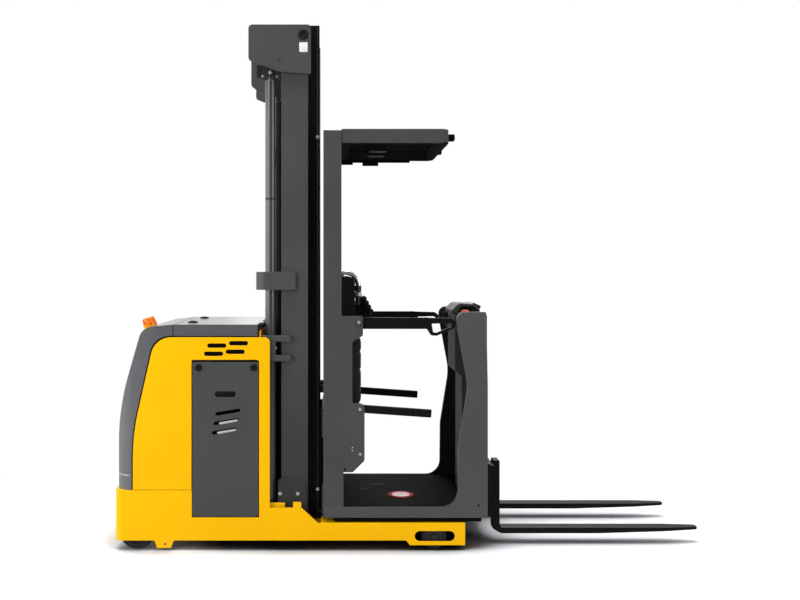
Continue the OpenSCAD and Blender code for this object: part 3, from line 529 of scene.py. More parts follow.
def finishes():
    """The truck's finishes, made once and shared."""
    if not hasattr(finishes, "made"):
        t = bpy.context.scene.order_picker_finishes
        yellow, grey, black, rubber = (tuple(c) for c in (t.yellow, t.grey, t.black, t.rubber))
        chrome, drawn = (0.74, 0.75, 0.77), (1.0, 1.0, 0.02)
        lens = (0.05, 0.05, 0.055)
        foot = Stations.beacon_z
        finishes.made = {
            "yellow": sprayed_paint("yellow paint", yellow),
            "yellow_arms": sprayed_paint("arm paint", yellow, pocket_painted_shade),
            "grey": powder_coat("grey paint", grey, 0.40),
            # Cheeks: a lighter copy of the grey as painted light; their inner faces and the sill's rim are
            # painted shade
            "grey_cheeks": powder_coat("cheek paint", tint(grey, 1.15), 0.40, cheek_painted_shade),
            "grey_wall": powder_coat("wall paint", grey, 0.40, wall_painted_shade),
            # The guard takes a lighter copy of the grey with less sheen, as painted light; its inner faces
            # and underside are painted shade
            "grey_guard": powder_coat("guard paint", tint(grey, 1.1), 0.46, guard_painted_shade, 0.06),
            "grey_head": powder_coat("mast head paint", grey, 0.40, head_painted_shade),
            "grey_mast": powder_coat("outer mast paint", grey, 0.36, mast_painted_shade),
            # The bulkhead is near black as painted shade, with a strip of darker yellow just above the
            # panels
            "dark": powder_coat("bulkhead paint", (0.014, 0.014, 0.015), 0.45, behind_lid, 0.25,
                                (0.80, 0.34, 0.002)),
            "black": powder_coat("black paint", black, 0.44, None, 0.10),
            "black_mast": powder_coat("inner mast paint", black, 0.44, inner_mast_painted_highlight, 0.10,
                                      (0.060, 0.060, 0.060)),
            "black_matt": powder_coat("matt black paint", tint(black, 0.7), 0.75, None, 0.04),
            "barrel": cylinder_paint("barrel paint", tint(grey, 0.9)),
            "hood": hood_plastic("hood plastic", tuple(t.hood)),
            "console": moulded_plastic("console plastic", tuple(t.console), 0.46, 600.0, 0.14),
            "black_plastic": moulded_plastic("black plastic", BLACK, 0.46, 500.0, 0.14),
            "steel": machined_steel("machined steel", tuple(t.steel), 0.24, (1.0, 1.0, 0.05)),
            "hub": powder_coat("hub paint", (0.022, 0.022, 0.023), 0.5),
            "rod": machined_steel("lift rod", chrome, 0.08, drawn, rod_eye),
            "rail": machined_steel("grab rail", chrome, 0.10, drawn, rail_sleeves),
            "zinc": machined_steel("zinc bolt", (0.56, 0.57, 0.58), 0.30, EVEN),
            "chain": oiled_steel("oiled chain steel"),
            "tyre": wheel_rubber("wheel rubber", rubber),
            "mat": mat_rubber("mat rubber", rubber),
            # The beacon's foot takes a paler amber as a painted glow
            "amber": lens_plastic("amber lens", tuple(t.amber), (0.90, 0.42, 0.02), foot + 0.010,
                                  foot + 0.034, 0.16, 0.2),
            "lens": lens_plastic("lamp lens", lens, lens, 0.0, 0.1, 0.60, 0.0),
            "screen": screen_glass("screen glass"),
            "pad": pad_vinyl("pad vinyl"),
            "red": moulded_plastic("red plastic", (0.40, 0.060, 0.016), 0.30, 900.0),
            "dark_red": moulded_plastic("sign red", (0.24, 0.006, 0.008), 0.55, 1200.0, 0.05),
            "white": moulded_plastic("white plate", (0.72, 0.715, 0.70), 0.45, 1200.0),
            "sign": moulded_plastic("sign face", (0.78, 0.57, 0.57), 0.55, 1200.0, 0.05),
            "pale": moulded_plastic("pale strip", (0.50, 0.51, 0.52), 0.28, 900.0),
        }
    return finishes.made


# Which finish each solid takes
SOLID_FINISHES = {
    "yellow": ("base_frame", "side_panels"),
    "yellow_arms": ("support_arms",),
    "hood": ("rear_hood", "battery_lid"),
    "grey": ("battery_doors", "mast_brackets", "barrel_straps", "lift_carriage", "cab_posts", "rear_panel",
             "drive_unit", "support_brackets"),
    "grey_head": ("mast_head",),
    "grey_cheeks": ("cab_cheeks",),
    "grey_wall": ("front_wall",),
    "grey_guard": ("guard_frame",),
    "grey_mast": ("outer_mast",),
    "dark": ("bulkhead",),
    "barrel": ("lift_barrels",),
    "console": ("pedestal", "cowl"),
    "black_plastic": ("door_knobs", "lid_knobs", "rear_console", "controls"),
    "black": ("gate_upper_left", "gate_upper_right", "gate_lower_left", "gate_lower_right", "forks",
              "fork_carriage"),
    "black_mast": ("inner_mast",),
    # The cab floor and the guard grille are black as painted shade under the sill and under the guard
    "black_matt": ("battery", "cab_floor", "guard_grille", "lamps"),
    "steel": ("drive_hub", "chain_pulleys", "mast_rollers", "carriage_rollers"),
    "hub": ("load_axles", "load_hub_left", "load_hub_right"),
    "rod": ("lift_rods",),
    "rail": ("grab_rails",),
    "chain": ("lift_chains",),
    "tyre": ("drive_tyre", "support_wheel_left", "support_wheel_right", "load_tyre_left",
             "load_tyre_right"),
    "mat": ("floor_mat",),
    "amber": ("beacon",),
    "screen": ("display",),
    "pad": ("backrest_pad",),
}


class ORDER_PICKER_OT_solids(Operator):
    """Give every solid its finish"""

    bl_idname = "order_picker.solids"
    bl_label = "Finish the solids"

    def execute(self, context):
        left = set(NODES)
        for finish, names in SOLID_FINISHES.items():
            for name in names:
                set_material(NODES[name].data, finishes()[finish])
                left.discard(name)
        if left:
            raise RuntimeError(f"no finish for {sorted(left)}")
        return {"FINISHED"}


class Grower(Tree):
    """One Geometry Nodes tree with named inputs, grown into a plain mesh."""

    def __init__(self, name):
        super().__init__(bpy.data.node_groups.new(name, "GeometryNodeTree"))
        for way in ("INPUT", "OUTPUT"):
            self.tree.interface.new_socket(name="Geometry", in_out=way, socket_type="NodeSocketGeometry")
        self.values = {}
        self.entry = self.tree.nodes.new("NodeGroupInput")

    def socket(self, name, kind, value):
        """A named input with its value, as an output to wire from."""
        made = self.tree.interface.new_socket(name=name, in_out="INPUT", socket_type="NodeSocket" + kind)
        self.values[made.identifier] = value
        return next(out for out in self.entry.outputs if out.identifier == made.identifier)

    def out(self, kind, values, settings=None):
        """The first output of a new node."""
        return self.node(kind, settings, values).outputs[0]

    def maths(self, operation, first, second):
        return self.out("ShaderNodeMath", {0: first, 1: second}, {"operation": operation})

    def vector(self, x=0.0, y=0.0, z=0.0):
        return self.out("ShaderNodeCombineXYZ", {0: x, 1: y, 2: z})

    def attribute(self, name, kind):
        return self.out("GeometryNodeInputNamedAttribute", {"Name": name}, {"data_type": kind})

    def move(self, geometry, at=ORIGIN, turn=ORIGIN, scale=EVEN):
        return self.out("GeometryNodeTransform",
                        {"Geometry": geometry, "Translation": at, "Rotation": turn, "Scale": scale})

    def join(self, *parts):
        return self.out("GeometryNodeJoinGeometry", {"Geometry": list(parts)})

    def cylinder(self, sides, radius, depth):
        return self.out("GeometryNodeMeshCylinder", {"Vertices": sides, "Radius": radius, "Depth": depth})

    def aligned(self, axis, name):
        """The rotation that turns an axis to a vector attribute."""
        return self.out("FunctionNodeAlignRotationToVector",
                        {"Vector": self.attribute(name, "FLOAT_VECTOR")}, {"axis": axis})

    def spread(self, points, instance, **values):
        return self.out("GeometryNodeInstanceOnPoints", {"Points": points, "Instance": instance, **values})

    def grow(self, name, seed_mesh, geometry, finish):
        """Realize, set the material, and return the result as a plain object."""
        material = finishes()[finish]
        solid = self.out("GeometryNodeRealizeInstances", {"Geometry": geometry})
        done = self.out("GeometryNodeSetMaterial", {"Geometry": solid, "Material": material})
        self.node("NodeGroupOutput", None, {0: done})
        seed = add_object(name + "_seed", seed_mesh)
        modifier = seed.modifiers.new("grow", "NODES")
        modifier.node_group = self.tree
        for identifier, value in self.values.items():
            modifier[identifier] = value
        mesh = evaluated_mesh(seed)
        bpy.data.objects.remove(seed)
        if not mesh.polygons:
            raise RuntimeError(f"{name} grew no faces")
        mesh.name = name
        return add_object(name, mesh, material)


def set_material(mesh, material):
    mesh.materials.clear()
    mesh.materials.append(material)


def add_object(name, data, material=None):
    piece = bpy.data.objects.new(name, data)
    bpy.context.scene.collection.objects.link(piece)
    if material is not None:
        set_material(data, material)
    return piece


def evaluated_mesh(piece):
    return bpy.data.meshes.new_from_object(piece.evaluated_get(bpy.context.evaluated_depsgraph_get()))


def apply_modifiers(piece, finish):
    """Turn a piece and its modifiers into a plain mesh of one finish."""
    mesh = evaluated_mesh(piece)
    piece.modifiers.clear()
    set_material(mesh, finishes()[finish])
    piece.data = mesh


def fit(piece, body):
    """Let a piece ride on a body."""
    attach(piece, body)
    return piece


def add_piece(name, bm, finish, body):
    """A piece of a finish on a body, from the shape in a bmesh."""
    return fit(add_object(name, mesh_from(name, bm), finishes()[finish]), body)


def points_mesh(name, points, **attributes):
    """Loose points with attributes, as the seed of a Geometry Nodes tree."""
    mesh = bpy.data.meshes.new(name)
    mesh.from_pydata(points, [], [])
    for key, values in attributes.items():
        vector = isinstance(values[0], tuple)
        layer = mesh.attributes.new(key, "FLOAT_VECTOR" if vector else "FLOAT", "POINT")
        for item, value in zip(layer.data, values):
            setattr(item, "vector" if vector else "value", value)
    return mesh


def smooth(mesh, degrees=35.0):
    for face in mesh.polygons:
        face.use_smooth = True
    mesh.set_sharp_from_angle(angle=math.radians(degrees))
    return mesh


def mesh_from(name, bm):
    bmesh.ops.remove_doubles(bm, verts=bm.verts, dist=1e-6)
    bmesh.ops.recalc_face_normals(bm, faces=bm.faces)
    mesh = bpy.data.meshes.new(name)
    bm.to_mesh(mesh)
    bm.free()
    return smooth(mesh)


def bridge(bm, low, high):
    """Faces between two rings of as many points, or a ring and one point; two lone points give none."""
    count = max(len(low), len(high))
    if count == 1:
        return
    for k in range(count):
        n = (k + 1) % count
        corners = [low[k % len(low)], low[n % len(low)], high[n % len(high)], high[k % len(high)]]
        bm.faces.new(list(dict.fromkeys(corners)))


def turned(bm, profile, at, axis, steps=40, lobes=0, depth=0.0):
    """Turn a (radius, height) profile about an axis at a point; lobes wave the rim for grip."""
    turn = Vector(UP).rotation_difference(Vector(axis)).to_matrix().to_4x4()
    frame_at = Matrix.Translation(at) @ turn
    rings = []
    for radius, height in profile:
        if radius < 1e-7:
            rings.append([bm.verts.new(frame_at @ Vector((0, 0, height)))])
            continue
        ring = []
        for k in range(steps):
            angle = math.tau * k / steps
            r = radius - depth * (0.5 + 0.5 * math.cos(lobes * angle)) if lobes else radius
            ring.append(bm.verts.new(frame_at @ Vector((r * math.cos(angle), r * math.sin(angle), height))))
        rings.append(ring)
    for low, high in zip(rings, rings[1:]):
        bridge(bm, low, high)


def twin_turned(bm, profile, at, *details):
    """A turned form on each side of the truck, facing outwards."""
    x, y, z = at
    for side in SIDES:
        turned(bm, profile, (x, side * y, z), (0, side, 0), *details)


def plate(bm, outline, origin, across, up, thickness, edge):
    """A plate of an outline in the plane of two unit vectors, with its free face's edge rounded off."""
    across, up = Vector(across), Vector(up)
    out = across.cross(up)
    middle = sum((Vector(p).to_3d() for p in outline), Vector()) / len(outline)
    rings = []
    for inset, height in ((0.0, 0.0), (0.0, thickness - edge), (edge * 0.3, thickness - edge * 0.3),
                          (edge, thickness)):
        ring = []
        for p in outline:
            flat = Vector(p).to_3d() - middle
            reach = flat.length
            flat = middle + flat * max(0.0, (reach - inset * 1.2) / reach)
            ring.append(bm.verts.new(Vector(origin) + across * flat.x + up * flat.y + out * height))
        rings.append(ring)
    for low, high in zip(rings, rings[1:]):
        bridge(bm, low, high)
    bm.faces.new(list(reversed(rings[0])))
    bm.faces.new(rings[-1])


def twin_plates(bm, outline, at, thickness, edge, tilt=0.0):
    """A plate on each side of the truck, facing outwards, its outline tilted in its plane."""
    x, y, z = at
    c, s = math.cos(tilt), math.sin(tilt)
    for side in SIDES:
        plate(bm, outline, (x, side * y, z), (-side * c, 0, -side * s), (-s, 0, c), thickness, edge)


def round_box(width, height, radius, steps=6):
    """Outline of a rounded rectangle about its centre."""
    points = []
    for sx, sy, start in ((1, 1, 0), (-1, 1, 90), (-1, -1, 180), (1, -1, 270)):
        for k in range(steps + 1):
            angle = math.radians(start + 90 * k / steps)
            points.append((sx * (width / 2 - radius) + radius * math.cos(angle),
                           sy * (height / 2 - radius) + radius * math.sin(angle)))
    return points


class ORDER_PICKER_OT_bolts(Operator):
    """Bolt the feet, brackets, rod eyes, gates and posts"""

    bl_idname = "order_picker.bolts"
    bl_label = "Bolts"

    def execute(self, context):
        s = Stations
        foot_y, pivot_y = s.half_mast + s.foot_plate, s.half_cab + 0.008
        rail_x, eye_y, eye_z = s.inner_front - 0.011, s.rod_y + 0.015, s.barrel_high.z + 0.024
        # body: rows of x, y, z, facing, head radius; each row is repeated on the other side
        table = {
            "chassis": (
                (s.outer_x - 0.006, foot_y, s.foot_bolt_z, "out", 0.0072),
                (s.outer_x + 0.092, foot_y, s.foot_bolt_z, "out", 0.0072),
                (s.panel_high.x + 0.029, s.half_mast + 0.017, s.panel_high.z - 0.061, "front", 0.0085),
            ),
            "mast": (
                (rail_x, s.inner_y, s.rail_bolt_low_z, "out", 0.0065),
                (rail_x, s.inner_y, s.rail_bolt_high_z, "out", 0.0075),
                (s.rod_x - 0.043, eye_y, eye_z, "out", 0.0055),
                (s.rod_x + 0.038, eye_y, eye_z, "out", 0.0050),
                (s.rod_x, s.rod_y + 0.030, s.barrel_high.z + 0.042, "out", 0.0076),
            ),
            "cab": (
                (s.cab_x + 0.196, pivot_y, s.cheek_top - 0.057, "out", 0.0066),
                (s.cab_x + 0.202, pivot_y, s.mat_high.z + 0.539, "out", 0.0066),
                (s.cab_x + 0.203, s.half_cab, s.post_bolt_z, "out", 0.0058),
                (s.cab_x + 0.160, s.half_cab, s.rivet_high_z, "out", 0.0032),
                (s.cab_x + 0.160, s.half_cab, s.rivet_low_z, "out", 0.0032),
            ),
        }
        for body, rows in table.items():
            at, facing, size = [], [], []
            for x, y, z, way, radius in rows:
                for side in SIDES:
                    at.append((x, side * y, z))
                    facing.append((0, side, 0) if way == "out" else (1, 0, 0))
                    size.append(radius)
            seed = points_mesh(body + "_bolt_points", at, facing=facing, size=size)
            fit(self.field(body, seed), body)
        return {"FINISHED"}

    def field(self, body, seed):
        """Hexagon bolts on washers, drawn for a head of radius 1 and scaled at each point."""
        g = Grower(body + "_bolt_tree")
        thick = 0.24
        head = g.socket("Head height", "Float", 0.62)
        washer = g.socket("Washer radius", "Float", 1.42)
        disc = g.move(g.cylinder(24, washer, thick), (0.0, 0.0, thick / 2))
        half = g.maths("MULTIPLY", head, 0.5)
        hexagon = g.move(g.cylinder(6, 1.0, head), g.vector(z=g.maths("ADD", half, thick)))
        crown = g.out("GeometryNodeMeshCone",
                      {"Vertices": 18, "Radius Top": 0.62, "Radius Bottom": 0.86, "Depth": 0.09})
        cap = g.move(crown, g.vector(z=g.maths("ADD", head, thick)))
        bolts = g.spread(g.entry.outputs[0], g.join(disc, hexagon, cap), Rotation=g.aligned("Z", "facing"),
                         Scale=g.attribute("size", "FLOAT"))
        return g.grow(body + "_bolts", seed, bolts, "zinc")


class ORDER_PICKER_OT_chains(Operator):
    """Lace the leaf chains over their pulleys"""

    bl_idname = "order_picker.chains"
    bl_label = "Lift chains"

    def execute(self, context):
        s = Stations
        pitch = sizes().chain_pitch
        half_link, half_stack = 0.007, 0.018
        half = (s.chain_high.x - s.chain_low.x) / 2 - half_link
        x = (s.chain_low.x + s.chain_high.x) / 2
        top = s.chain_high.z - half_link - half
        run = round((top - s.chain_low.z) / pitch)
        bend = max(6, round(math.pi * half / pitch))
        front, rear = [], []
        for side in SIDES:
            y = side * (s.chain_high.y - half_stack)
            for k in range(run):
                z = top - (k + 0.5) * pitch
                front.append(((x + half, y, z), UP, float(k % 2)))
                rear.append(((x - half, y, z), UP, float((k + bend) % 2)))
            for k in range(bend):
                angle = math.pi * (k + 0.5) / bend
                rear.append(((x + half * math.cos(angle), y, top + half * math.sin(angle)),
                             (-math.sin(angle), 0, math.cos(angle)), float((k + 1) % 2)))
        hanging = fit(self.laced("chain_front_runs", front), "mast")
        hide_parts("lift_chains")
        fixed = fit(self.laced("chain_rear_runs", rear), "mast")
        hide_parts("lift_chains")
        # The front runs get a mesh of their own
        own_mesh(hanging)
        return {"FINISHED"}

    def laced(self, name, links):
        """Links of four and five leaf plates by turns, each with its pin."""
        at, along, odds = zip(*links)
        seed = points_mesh(name + "_points", at, along=along, odd=odds)
        g = Grower(name + "_tree")
        thick, leaf_gap, pin_length = 0.0032, 0.007, 0.0345
        pitch = g.socket("Pitch", "Float", sizes().chain_pitch)
        high = g.socket("Plate height", "Float", sizes().chain_plate)
        waist = g.maths("MULTIPLY", high, 0.74)
        bar = g.out("GeometryNodeMeshCube", {"Size": g.vector(pitch, thick, waist)})
        eye = g.move(g.cylinder(10, g.maths("MULTIPLY", high, 0.5), thick), turn=QUARTER_TURN)
        half = g.maths("MULTIPLY", pitch, 0.5)
        ends = [g.move(eye, g.vector(x)) for x in (half, g.maths("MULTIPLY", half, -1.0))]
        leaf = g.join(bar, *ends)
        rod = g.cylinder(10, g.maths("MULTIPLY", high, 0.24), pin_length)
        pin = g.move(rod, g.vector(half), QUARTER_TURN)
        rotation = g.aligned("X", "along")
        odd = g.attribute("odd", "FLOAT")
        stacks = []
        for share, count in ((odd, 4), (g.maths("SUBTRACT", 1.0, odd), 5)):
            leaves = [g.move(leaf, (0.0, (k - (count - 1) / 2) * leaf_gap, 0.0)) for k in range(count)]
            stacks.append(g.spread(g.entry.outputs[0], g.join(pin, *leaves), Rotation=rotation,
                                   Selection=share))
        return g.grow(name, seed, g.join(*stacks), "chain")


class ORDER_PICKER_OT_mat(Operator):
    """Rib the cab mat and lay its blank sign"""

    bl_idname = "order_picker.mat"
    bl_label = "Cab mat"

    def execute(self, context):
        low, high = Stations.mat_low, Stations.mat_high
        pitch, rise = sizes().rib_pitch, sizes().rib_height
        radius = pitch * 0.36
        start, end = low.x + 0.012, Stations.pedestal_x + 0.035
        g = Grower("mat_rib_tree")
        count = g.socket("Ribs", "Int", int((end - start) / pitch))
        step = g.vector(g.socket("Pitch", "Float", pitch))
        line = g.out("GeometryNodeMeshLine",
                     {"Count": count, "Start Location": (start, 0.0, high.z), "Offset": step})
        rib = g.cylinder(8, g.socket("Rib radius", "Float", radius), high.y - low.y - 0.02)
        flat = g.move(g.move(rib, turn=QUARTER_TURN), scale=(1.0, 1.0, rise / radius))
        empty = points_mesh("mat_rib_points", [ORIGIN])
        ribs = g.grow("mat_ribs", empty, g.spread(line, flat), "mat")
        smooth(ribs.data)
        fit(ribs, "cab")
        self.sign(Vector((low.x + 0.434, -0.134, high.z)), sizes().sign_radius, rise)
        return {"FINISHED"}

    def sign(self, at, radius, rise):
        """A round blank sign in the ribs, its rim a little higher than its face."""
        foot = rise * 0.5
        for name, inner, outer, proud, finish in (("mat_sign_rim", 0.72, 1.0, 0.0012, "dark_red"),
                                                  ("mat_sign_face", 0.0, 0.71, 0.0010, "sign")):
            inner, outer, top = inner * radius, outer * radius, rise + proud
            bm = bmesh.new()
            turned(bm, [(inner, foot), (outer, foot), (outer, top - 0.0003), (outer - 0.0005, top),
                        (inner, top), (inner, foot)], at, UP, 64)
            add_piece(name, bm, finish, "cab")


class ORDER_PICKER_OT_knobs(Operator):
    """Turn the knobs of the doors and the lid"""

    bl_idname = "order_picker.knobs"
    bl_label = "Knobs"

    def execute(self, context):
        low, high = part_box("door_knobs")
        radius, grip = 0.019, 0.012
        profile = ((radius, 0.0), (radius, 0.0085), (0.0180, 0.0108), (0.0150, 0.0120), (0.0085, 0.0122),
                   (0.0075, 0.0100), (0.0, 0.0098))
        bm = bmesh.new()
        for x in (low.x + radius, high.x - radius):
            twin_turned(bm, profile, (x, high.y - grip, low.z + radius), 48, 12, 0.0012)
        piece = add_piece("door_knob_caps", bm, "black_plastic", "chassis")
        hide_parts("door_knobs")
        low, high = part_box("lid_knobs")
        radius = 0.027
        profile = ((radius, 0.0), (radius, 0.0045), (0.0250, 0.0070), (0.0215, 0.0078), (0.0205, 0.0066),
                   (0.0180, 0.0066), (0.0165, 0.0090), (0.0120, 0.0110), (0.0, 0.0112))
        bm = bmesh.new()
        for y in (low.y + radius, high.y - radius):
            turned(bm, profile, ((low.x + high.x) / 2, y, low.z), UP, 48)
        piece = add_piece("lid_knob_caps", bm, "black_plastic", "lid")
        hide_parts("lid_knobs")
        return {"FINISHED"}


class ORDER_PICKER_OT_console(Operator):
    """Fit the stop button's cap, the lamps' lenses and the hand grip"""

    bl_idname = "order_picker.console"
    bl_label = "Console and lamps"

    def execute(self, context):
        self.stop_button()
        self.lenses()
        self.hand_grip()
        return {"FINISHED"}

    def stop_button(self):
        """Mushroom cap on the stop button's stem."""
        s = Stations
        cheek = 0.025
        left = (s.half_cab - cheek + s.half_cab * 0.365) / 2
        bm = bmesh.new()
        turned(bm, ((0.0155, 0.060), (0.0205, 0.0855), (0.0240, 0.0880), (0.0245, 0.1020), (0.0225, 0.1090),
                    (0.0160, 0.1130), (0.0, 0.1142)),
               (s.cheek_front - 0.094, 0.060 - left, s.cheek_top - 0.110), UP, 48, 16, 0.0010)
        add_piece("stop_button_cap", bm, "red", "cab")

    def hand_grip(self):
        """Ridged hand control on the slope of the rear console."""
        high = Stations.console_high
        top = Vector((high.x - 0.044, Stations.console_low.y + 0.006, high.z - 0.128))
        foot = Vector((high.x - 0.006, top.y, high.z - 0.200))
        ridges = 4
        bm = bmesh.new()
        for k in range(ridges):
            turned(bm, ((0.0, 0.0), (0.0060, 0.0002), (0.0120, 0.0020), (0.0140, 0.0070), (0.0140, 0.1330),
                        (0.0120, 0.1380), (0.0060, 0.1400), (0.0, 0.1402)),
                   top.lerp(foot, k / (ridges - 1)), (0, 1, 0), 24)
        add_piece("hand_grip", bm, "black_plastic", "cab")

    def lenses(self):
        """Lenses under the guard's two lamps and on its two front ones."""
        s = Stations
        bars, rail = 7, 0.050
        pitch = (s.half_cab - rail) * 2 / bars
        bm = bmesh.new()
        for side in SIDES:
            under = (s.guard_low.x + 0.216, side * pitch, s.guard_low.z - 0.006)
            plate(bm, round_box(0.098, 0.056, 0.011), under, (1, 0, 0), (0, -1, 0), 0.0035, 0.0020)
            face = (s.guard_high.x + 0.040, side * s.half_cab * 0.7, s.guard_low.z + 0.045)
            plate(bm, round_box(0.040, 0.025, 0.006), face, (0, 1, 0), UP, 0.0030, 0.0018)
        add_piece("lamp_lenses", bm, "lens", "cab")


# Moulded and tubular solids whose edges are rounded: piece, node, body, slot, finish, edge radius
SHELLS = (
    ("hood_shell", "rear_hood", "chassis", "hood_plastic", "hood", 0.0030),
    ("lid_shell", "battery_lid", "lid", "hood_plastic", "hood", 0.0030),
    ("fork_bars", "forks", "cab", "black_paint", "black", 0.0040),
    ("console_shell", "rear_console", "cab", "black_plastic", "black_plastic", 0.0060),
    ("cowl_shell", "cowl", "cab", "console_plastic", "console", 0.0040),
    ("guard_shell", "guard_frame", "cab", "grey_paint", "grey_guard", 0.0060),
    ("upper_bar_left", "gate_upper_left", "upper_left", "black_paint", "black", 0.0035),
    ("upper_bar_right", "gate_upper_right", "upper_right", "black_paint", "black", 0.0035),
    ("lower_bar_left", "gate_lower_left", "lower_left", "black_paint", "black", 0.0045),
    ("lower_bar_right", "gate_lower_right", "lower_right", "black_paint", "black", 0.0045),
)


class ORDER_PICKER_OT_shells(Operator):
    """Make the moulded and tubular solids again with their facets run together and their edges rounded"""

    bl_idname = "order_picker.shells"
    bl_label = "Rounded shells"

    def execute(self, context):
        same_plane, corner = math.radians(0.5), math.radians(40)
        for name, node, body, slot, finish, radius in SHELLS:
            bm = bmesh.new()
            bm.from_mesh(NODES[node].data)
            bmesh.ops.remove_doubles(bm, verts=bm.verts, dist=1e-5)
            bmesh.ops.dissolve_limit(bm, angle_limit=same_plane, verts=bm.verts, edges=bm.edges)
            sharp = [e for e in bm.edges if len(e.link_faces) == 2 and e.calc_face_angle() > corner]
            bmesh.ops.bevel(bm, geom=sharp, offset=radius, offset_type="OFFSET", segments=3, profile=0.5,
                            affect="EDGES", clamp_overlap=True)
            bmesh.ops.triangulate(bm, faces=bm.faces)
            piece = add_object(name, mesh_from(name, bm), finishes()[finish])
            piece.modifiers.new("flat_faces", "WEIGHTED_NORMAL").keep_sharp = True
            apply_modifiers(piece, finish)
            fit(piece, body)
            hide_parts(node)
        return {"FINISHED"}


class ORDER_PICKER_OT_trim(Operator):
    """Add the strip, filters, dark strips of painted shade in the gaps, shield, dark sheets of painted shade
    in the wheel pockets, pale bars of painted highlight in the door slots, ledges, pulls, plugs and the
    blank plate
    """

    bl_idname = "order_picker.trim"
    bl_label = "Body trim"

    def execute(self, context):
        for add in (self.hood_strip, self.vent_filters, self.gap_shade_strips, self.carriage_shield,
                    self.pocket_shade_sheets, self.slot_highlight_bars, self.foot_ledges, self.door_pulls, self.head_plate,
                    self.plugs):
            add()
        return {"FINISHED"}

    def hood_strip(self):
        """Two fine pale lines round the foot of the hood, closed at each end."""
        s = Stations
        z, spread, high, proud = s.base_top + 0.081, 0.0075, 0.0028, 0.0014
        x0, w, radius, bends = s.hood_low.x, s.hood_high.y, 0.090, 16
        # x, y, outward direction, and how far the two lines have parted
        path = [(x0 + x, -w, (0, -1), parted) for x, parted in ((0.078, 0.0), (0.077, 0.5), (0.074, 1.0))]
        for k in range(bends + 1):
            angle = math.radians(270 - 90 * k / bends)
            c = (math.cos(angle), math.sin(angle))
            x, y = x0 + radius + radius * c[0], -w + radius + radius * c[1]
            if x < x0 + 0.072:
                path.append((x, y, c, 1.0))
        path += [(x, -y, (n[0], -n[1]), parted) for x, y, n, parted in reversed(path)]
        section = [(0.0, -0.5), (0.8, -0.35), (1.0, 0.0), (0.8, 0.35), (0.0, 0.5)]
        bm = bmesh.new()
        for way in SIDES:
            rings = []
            for x, y, n, parted in path:
                middle = z + way * spread * parted / 2
                rings.append([bm.verts.new((x + n[0] * out * proud, y + n[1] * out * proud,
                                            middle + up * high)) for out, up in section])
            for a, b in zip(rings, rings[1:]):
                bridge(bm, a, b)
            bm.faces.new(rings[0])
            bm.faces.new(list(reversed(rings[-1])))
        add_piece("hood_strip", bm, "pale", "chassis")

    def vent_filters(self):
        """Black filter panels behind the vent slots."""
        s = Stations
        bm = bmesh.new()
        at = (s.door_low.x + s.door_width * 0.52, s.panel_high.y - 0.014, s.panel_high.z - 0.063)
        twin_plates(bm, round_box(s.door_width * 0.80, 0.104, 0.008), at, 0.004, 0.001)
        add_piece("vent_filters", bm, "black_matt", "chassis")

    def gap_shade_strips(self):
        """Black strips behind the gap under the lid and beside the hood, and along the doors' tops: painted
        shade in these gaps.
        """
        s = Stations
        bm = bmesh.new()
        above = (s.door_x, s.door_high.y - 0.014, s.door_high.z + 0.0062)
        twin_plates(bm, round_box(s.door_width * 0.95, 0.0125, 0.002), above, 0.010, 0.0010)
        start, end = s.hood_low.x + 0.20, s.lid_front - 0.02
        under = ((start + end) / 2, s.panel_high.y - 0.020, s.panel_high.z + 0.001)
        twin_plates(bm, round_box(end - start, 0.026, 0.006), under, 0.006, 0.0015)
        add_piece("gap_shade_strips", bm, "black_plastic", "chassis")

    def carriage_shield(self):
        """Black shield between the carriage and the cab's rear."""
        s = Stations
        bm = bmesh.new()
        low, high = s.cab_low_z + 0.008, s.pad_low.z - 0.030
        rear = (s.inner_front + 0.0075, 0.0, (low + high) / 2)
        plate(bm, round_box(0.480, high - low, 0.020), rear, (0, 1, 0), UP, 0.0125, 0.0015)
        add_piece("carriage_shield", bm, "black_matt", "cab")

    def pocket_shade_sheets(self):
        """Black sheets on the inner side of the load wheels' pockets: painted shade in the pockets."""
        s = Stations
        bm = bmesh.new()
        at = (s.load_x, s.arm_y - 0.1375, s.pocket_z)
        twin_plates(bm, round_box(0.250, 0.128, 0.010), at, 0.0060, 0.0010)
        add_piece("pocket_shade_sheets", bm, "black_matt", "chassis")

    def slot_highlight_bars(self):
        """Pale bars on the lower edges of the doors' two lower slots: a painted highlight on those edges."""
        s = Stations
        bar = round_box(s.door_width * 0.30, 0.0115, 0.0055)
        x, y, z = s.door_x + 0.026, s.door_high.y - 0.013, s.door_high.z - 0.2775
        bm = bmesh.new()
        for row in (1, 2):
            twin_plates(bm, bar, (x - 0.009 * row, y, z - 0.052 * row), 0.004, 0.0020, math.radians(9.5))
        add_piece("slot_highlight_bars", bm, "white", "chassis")

    def foot_ledges(self):
        """Yellow ledge plates beside the mast's feet, set in behind the arms' edges."""
        s = Stations
        bm = bmesh.new()
        at = (s.outer_x - 0.036, s.half_mast + 0.020, s.ledge_z)
        twin_plates(bm, round_box(0.116, 0.060, 0.004), at, 0.0080, 0.0010)
        add_piece("foot_ledges", bm, "yellow", "chassis")

    def door_pulls(self):
        """Black cups in the doors' hand recesses, each with a finger lip."""
        s = Stations
        y, z = s.door_high.y - 0.0105, s.door_high.z - 0.176
        floor, lip, lip_foot, fit_in = 0.003, 0.0065, 0.006, 0.985
        cup = round_box(s.door_width * 0.32 * fit_in, 0.032 * fit_in, 0.016 * fit_in, 8)
        bm = bmesh.new()
        twin_plates(bm, cup, (s.door_x, y, z), floor, 0.0012)
        upper = [(px, max(py, lip_foot)) for px, py in cup]
        twin_plates(bm, upper, (s.door_x, y + floor, z), lip, 0.0012)
        add_piece("door_pulls", bm, "black_plastic", "chassis")

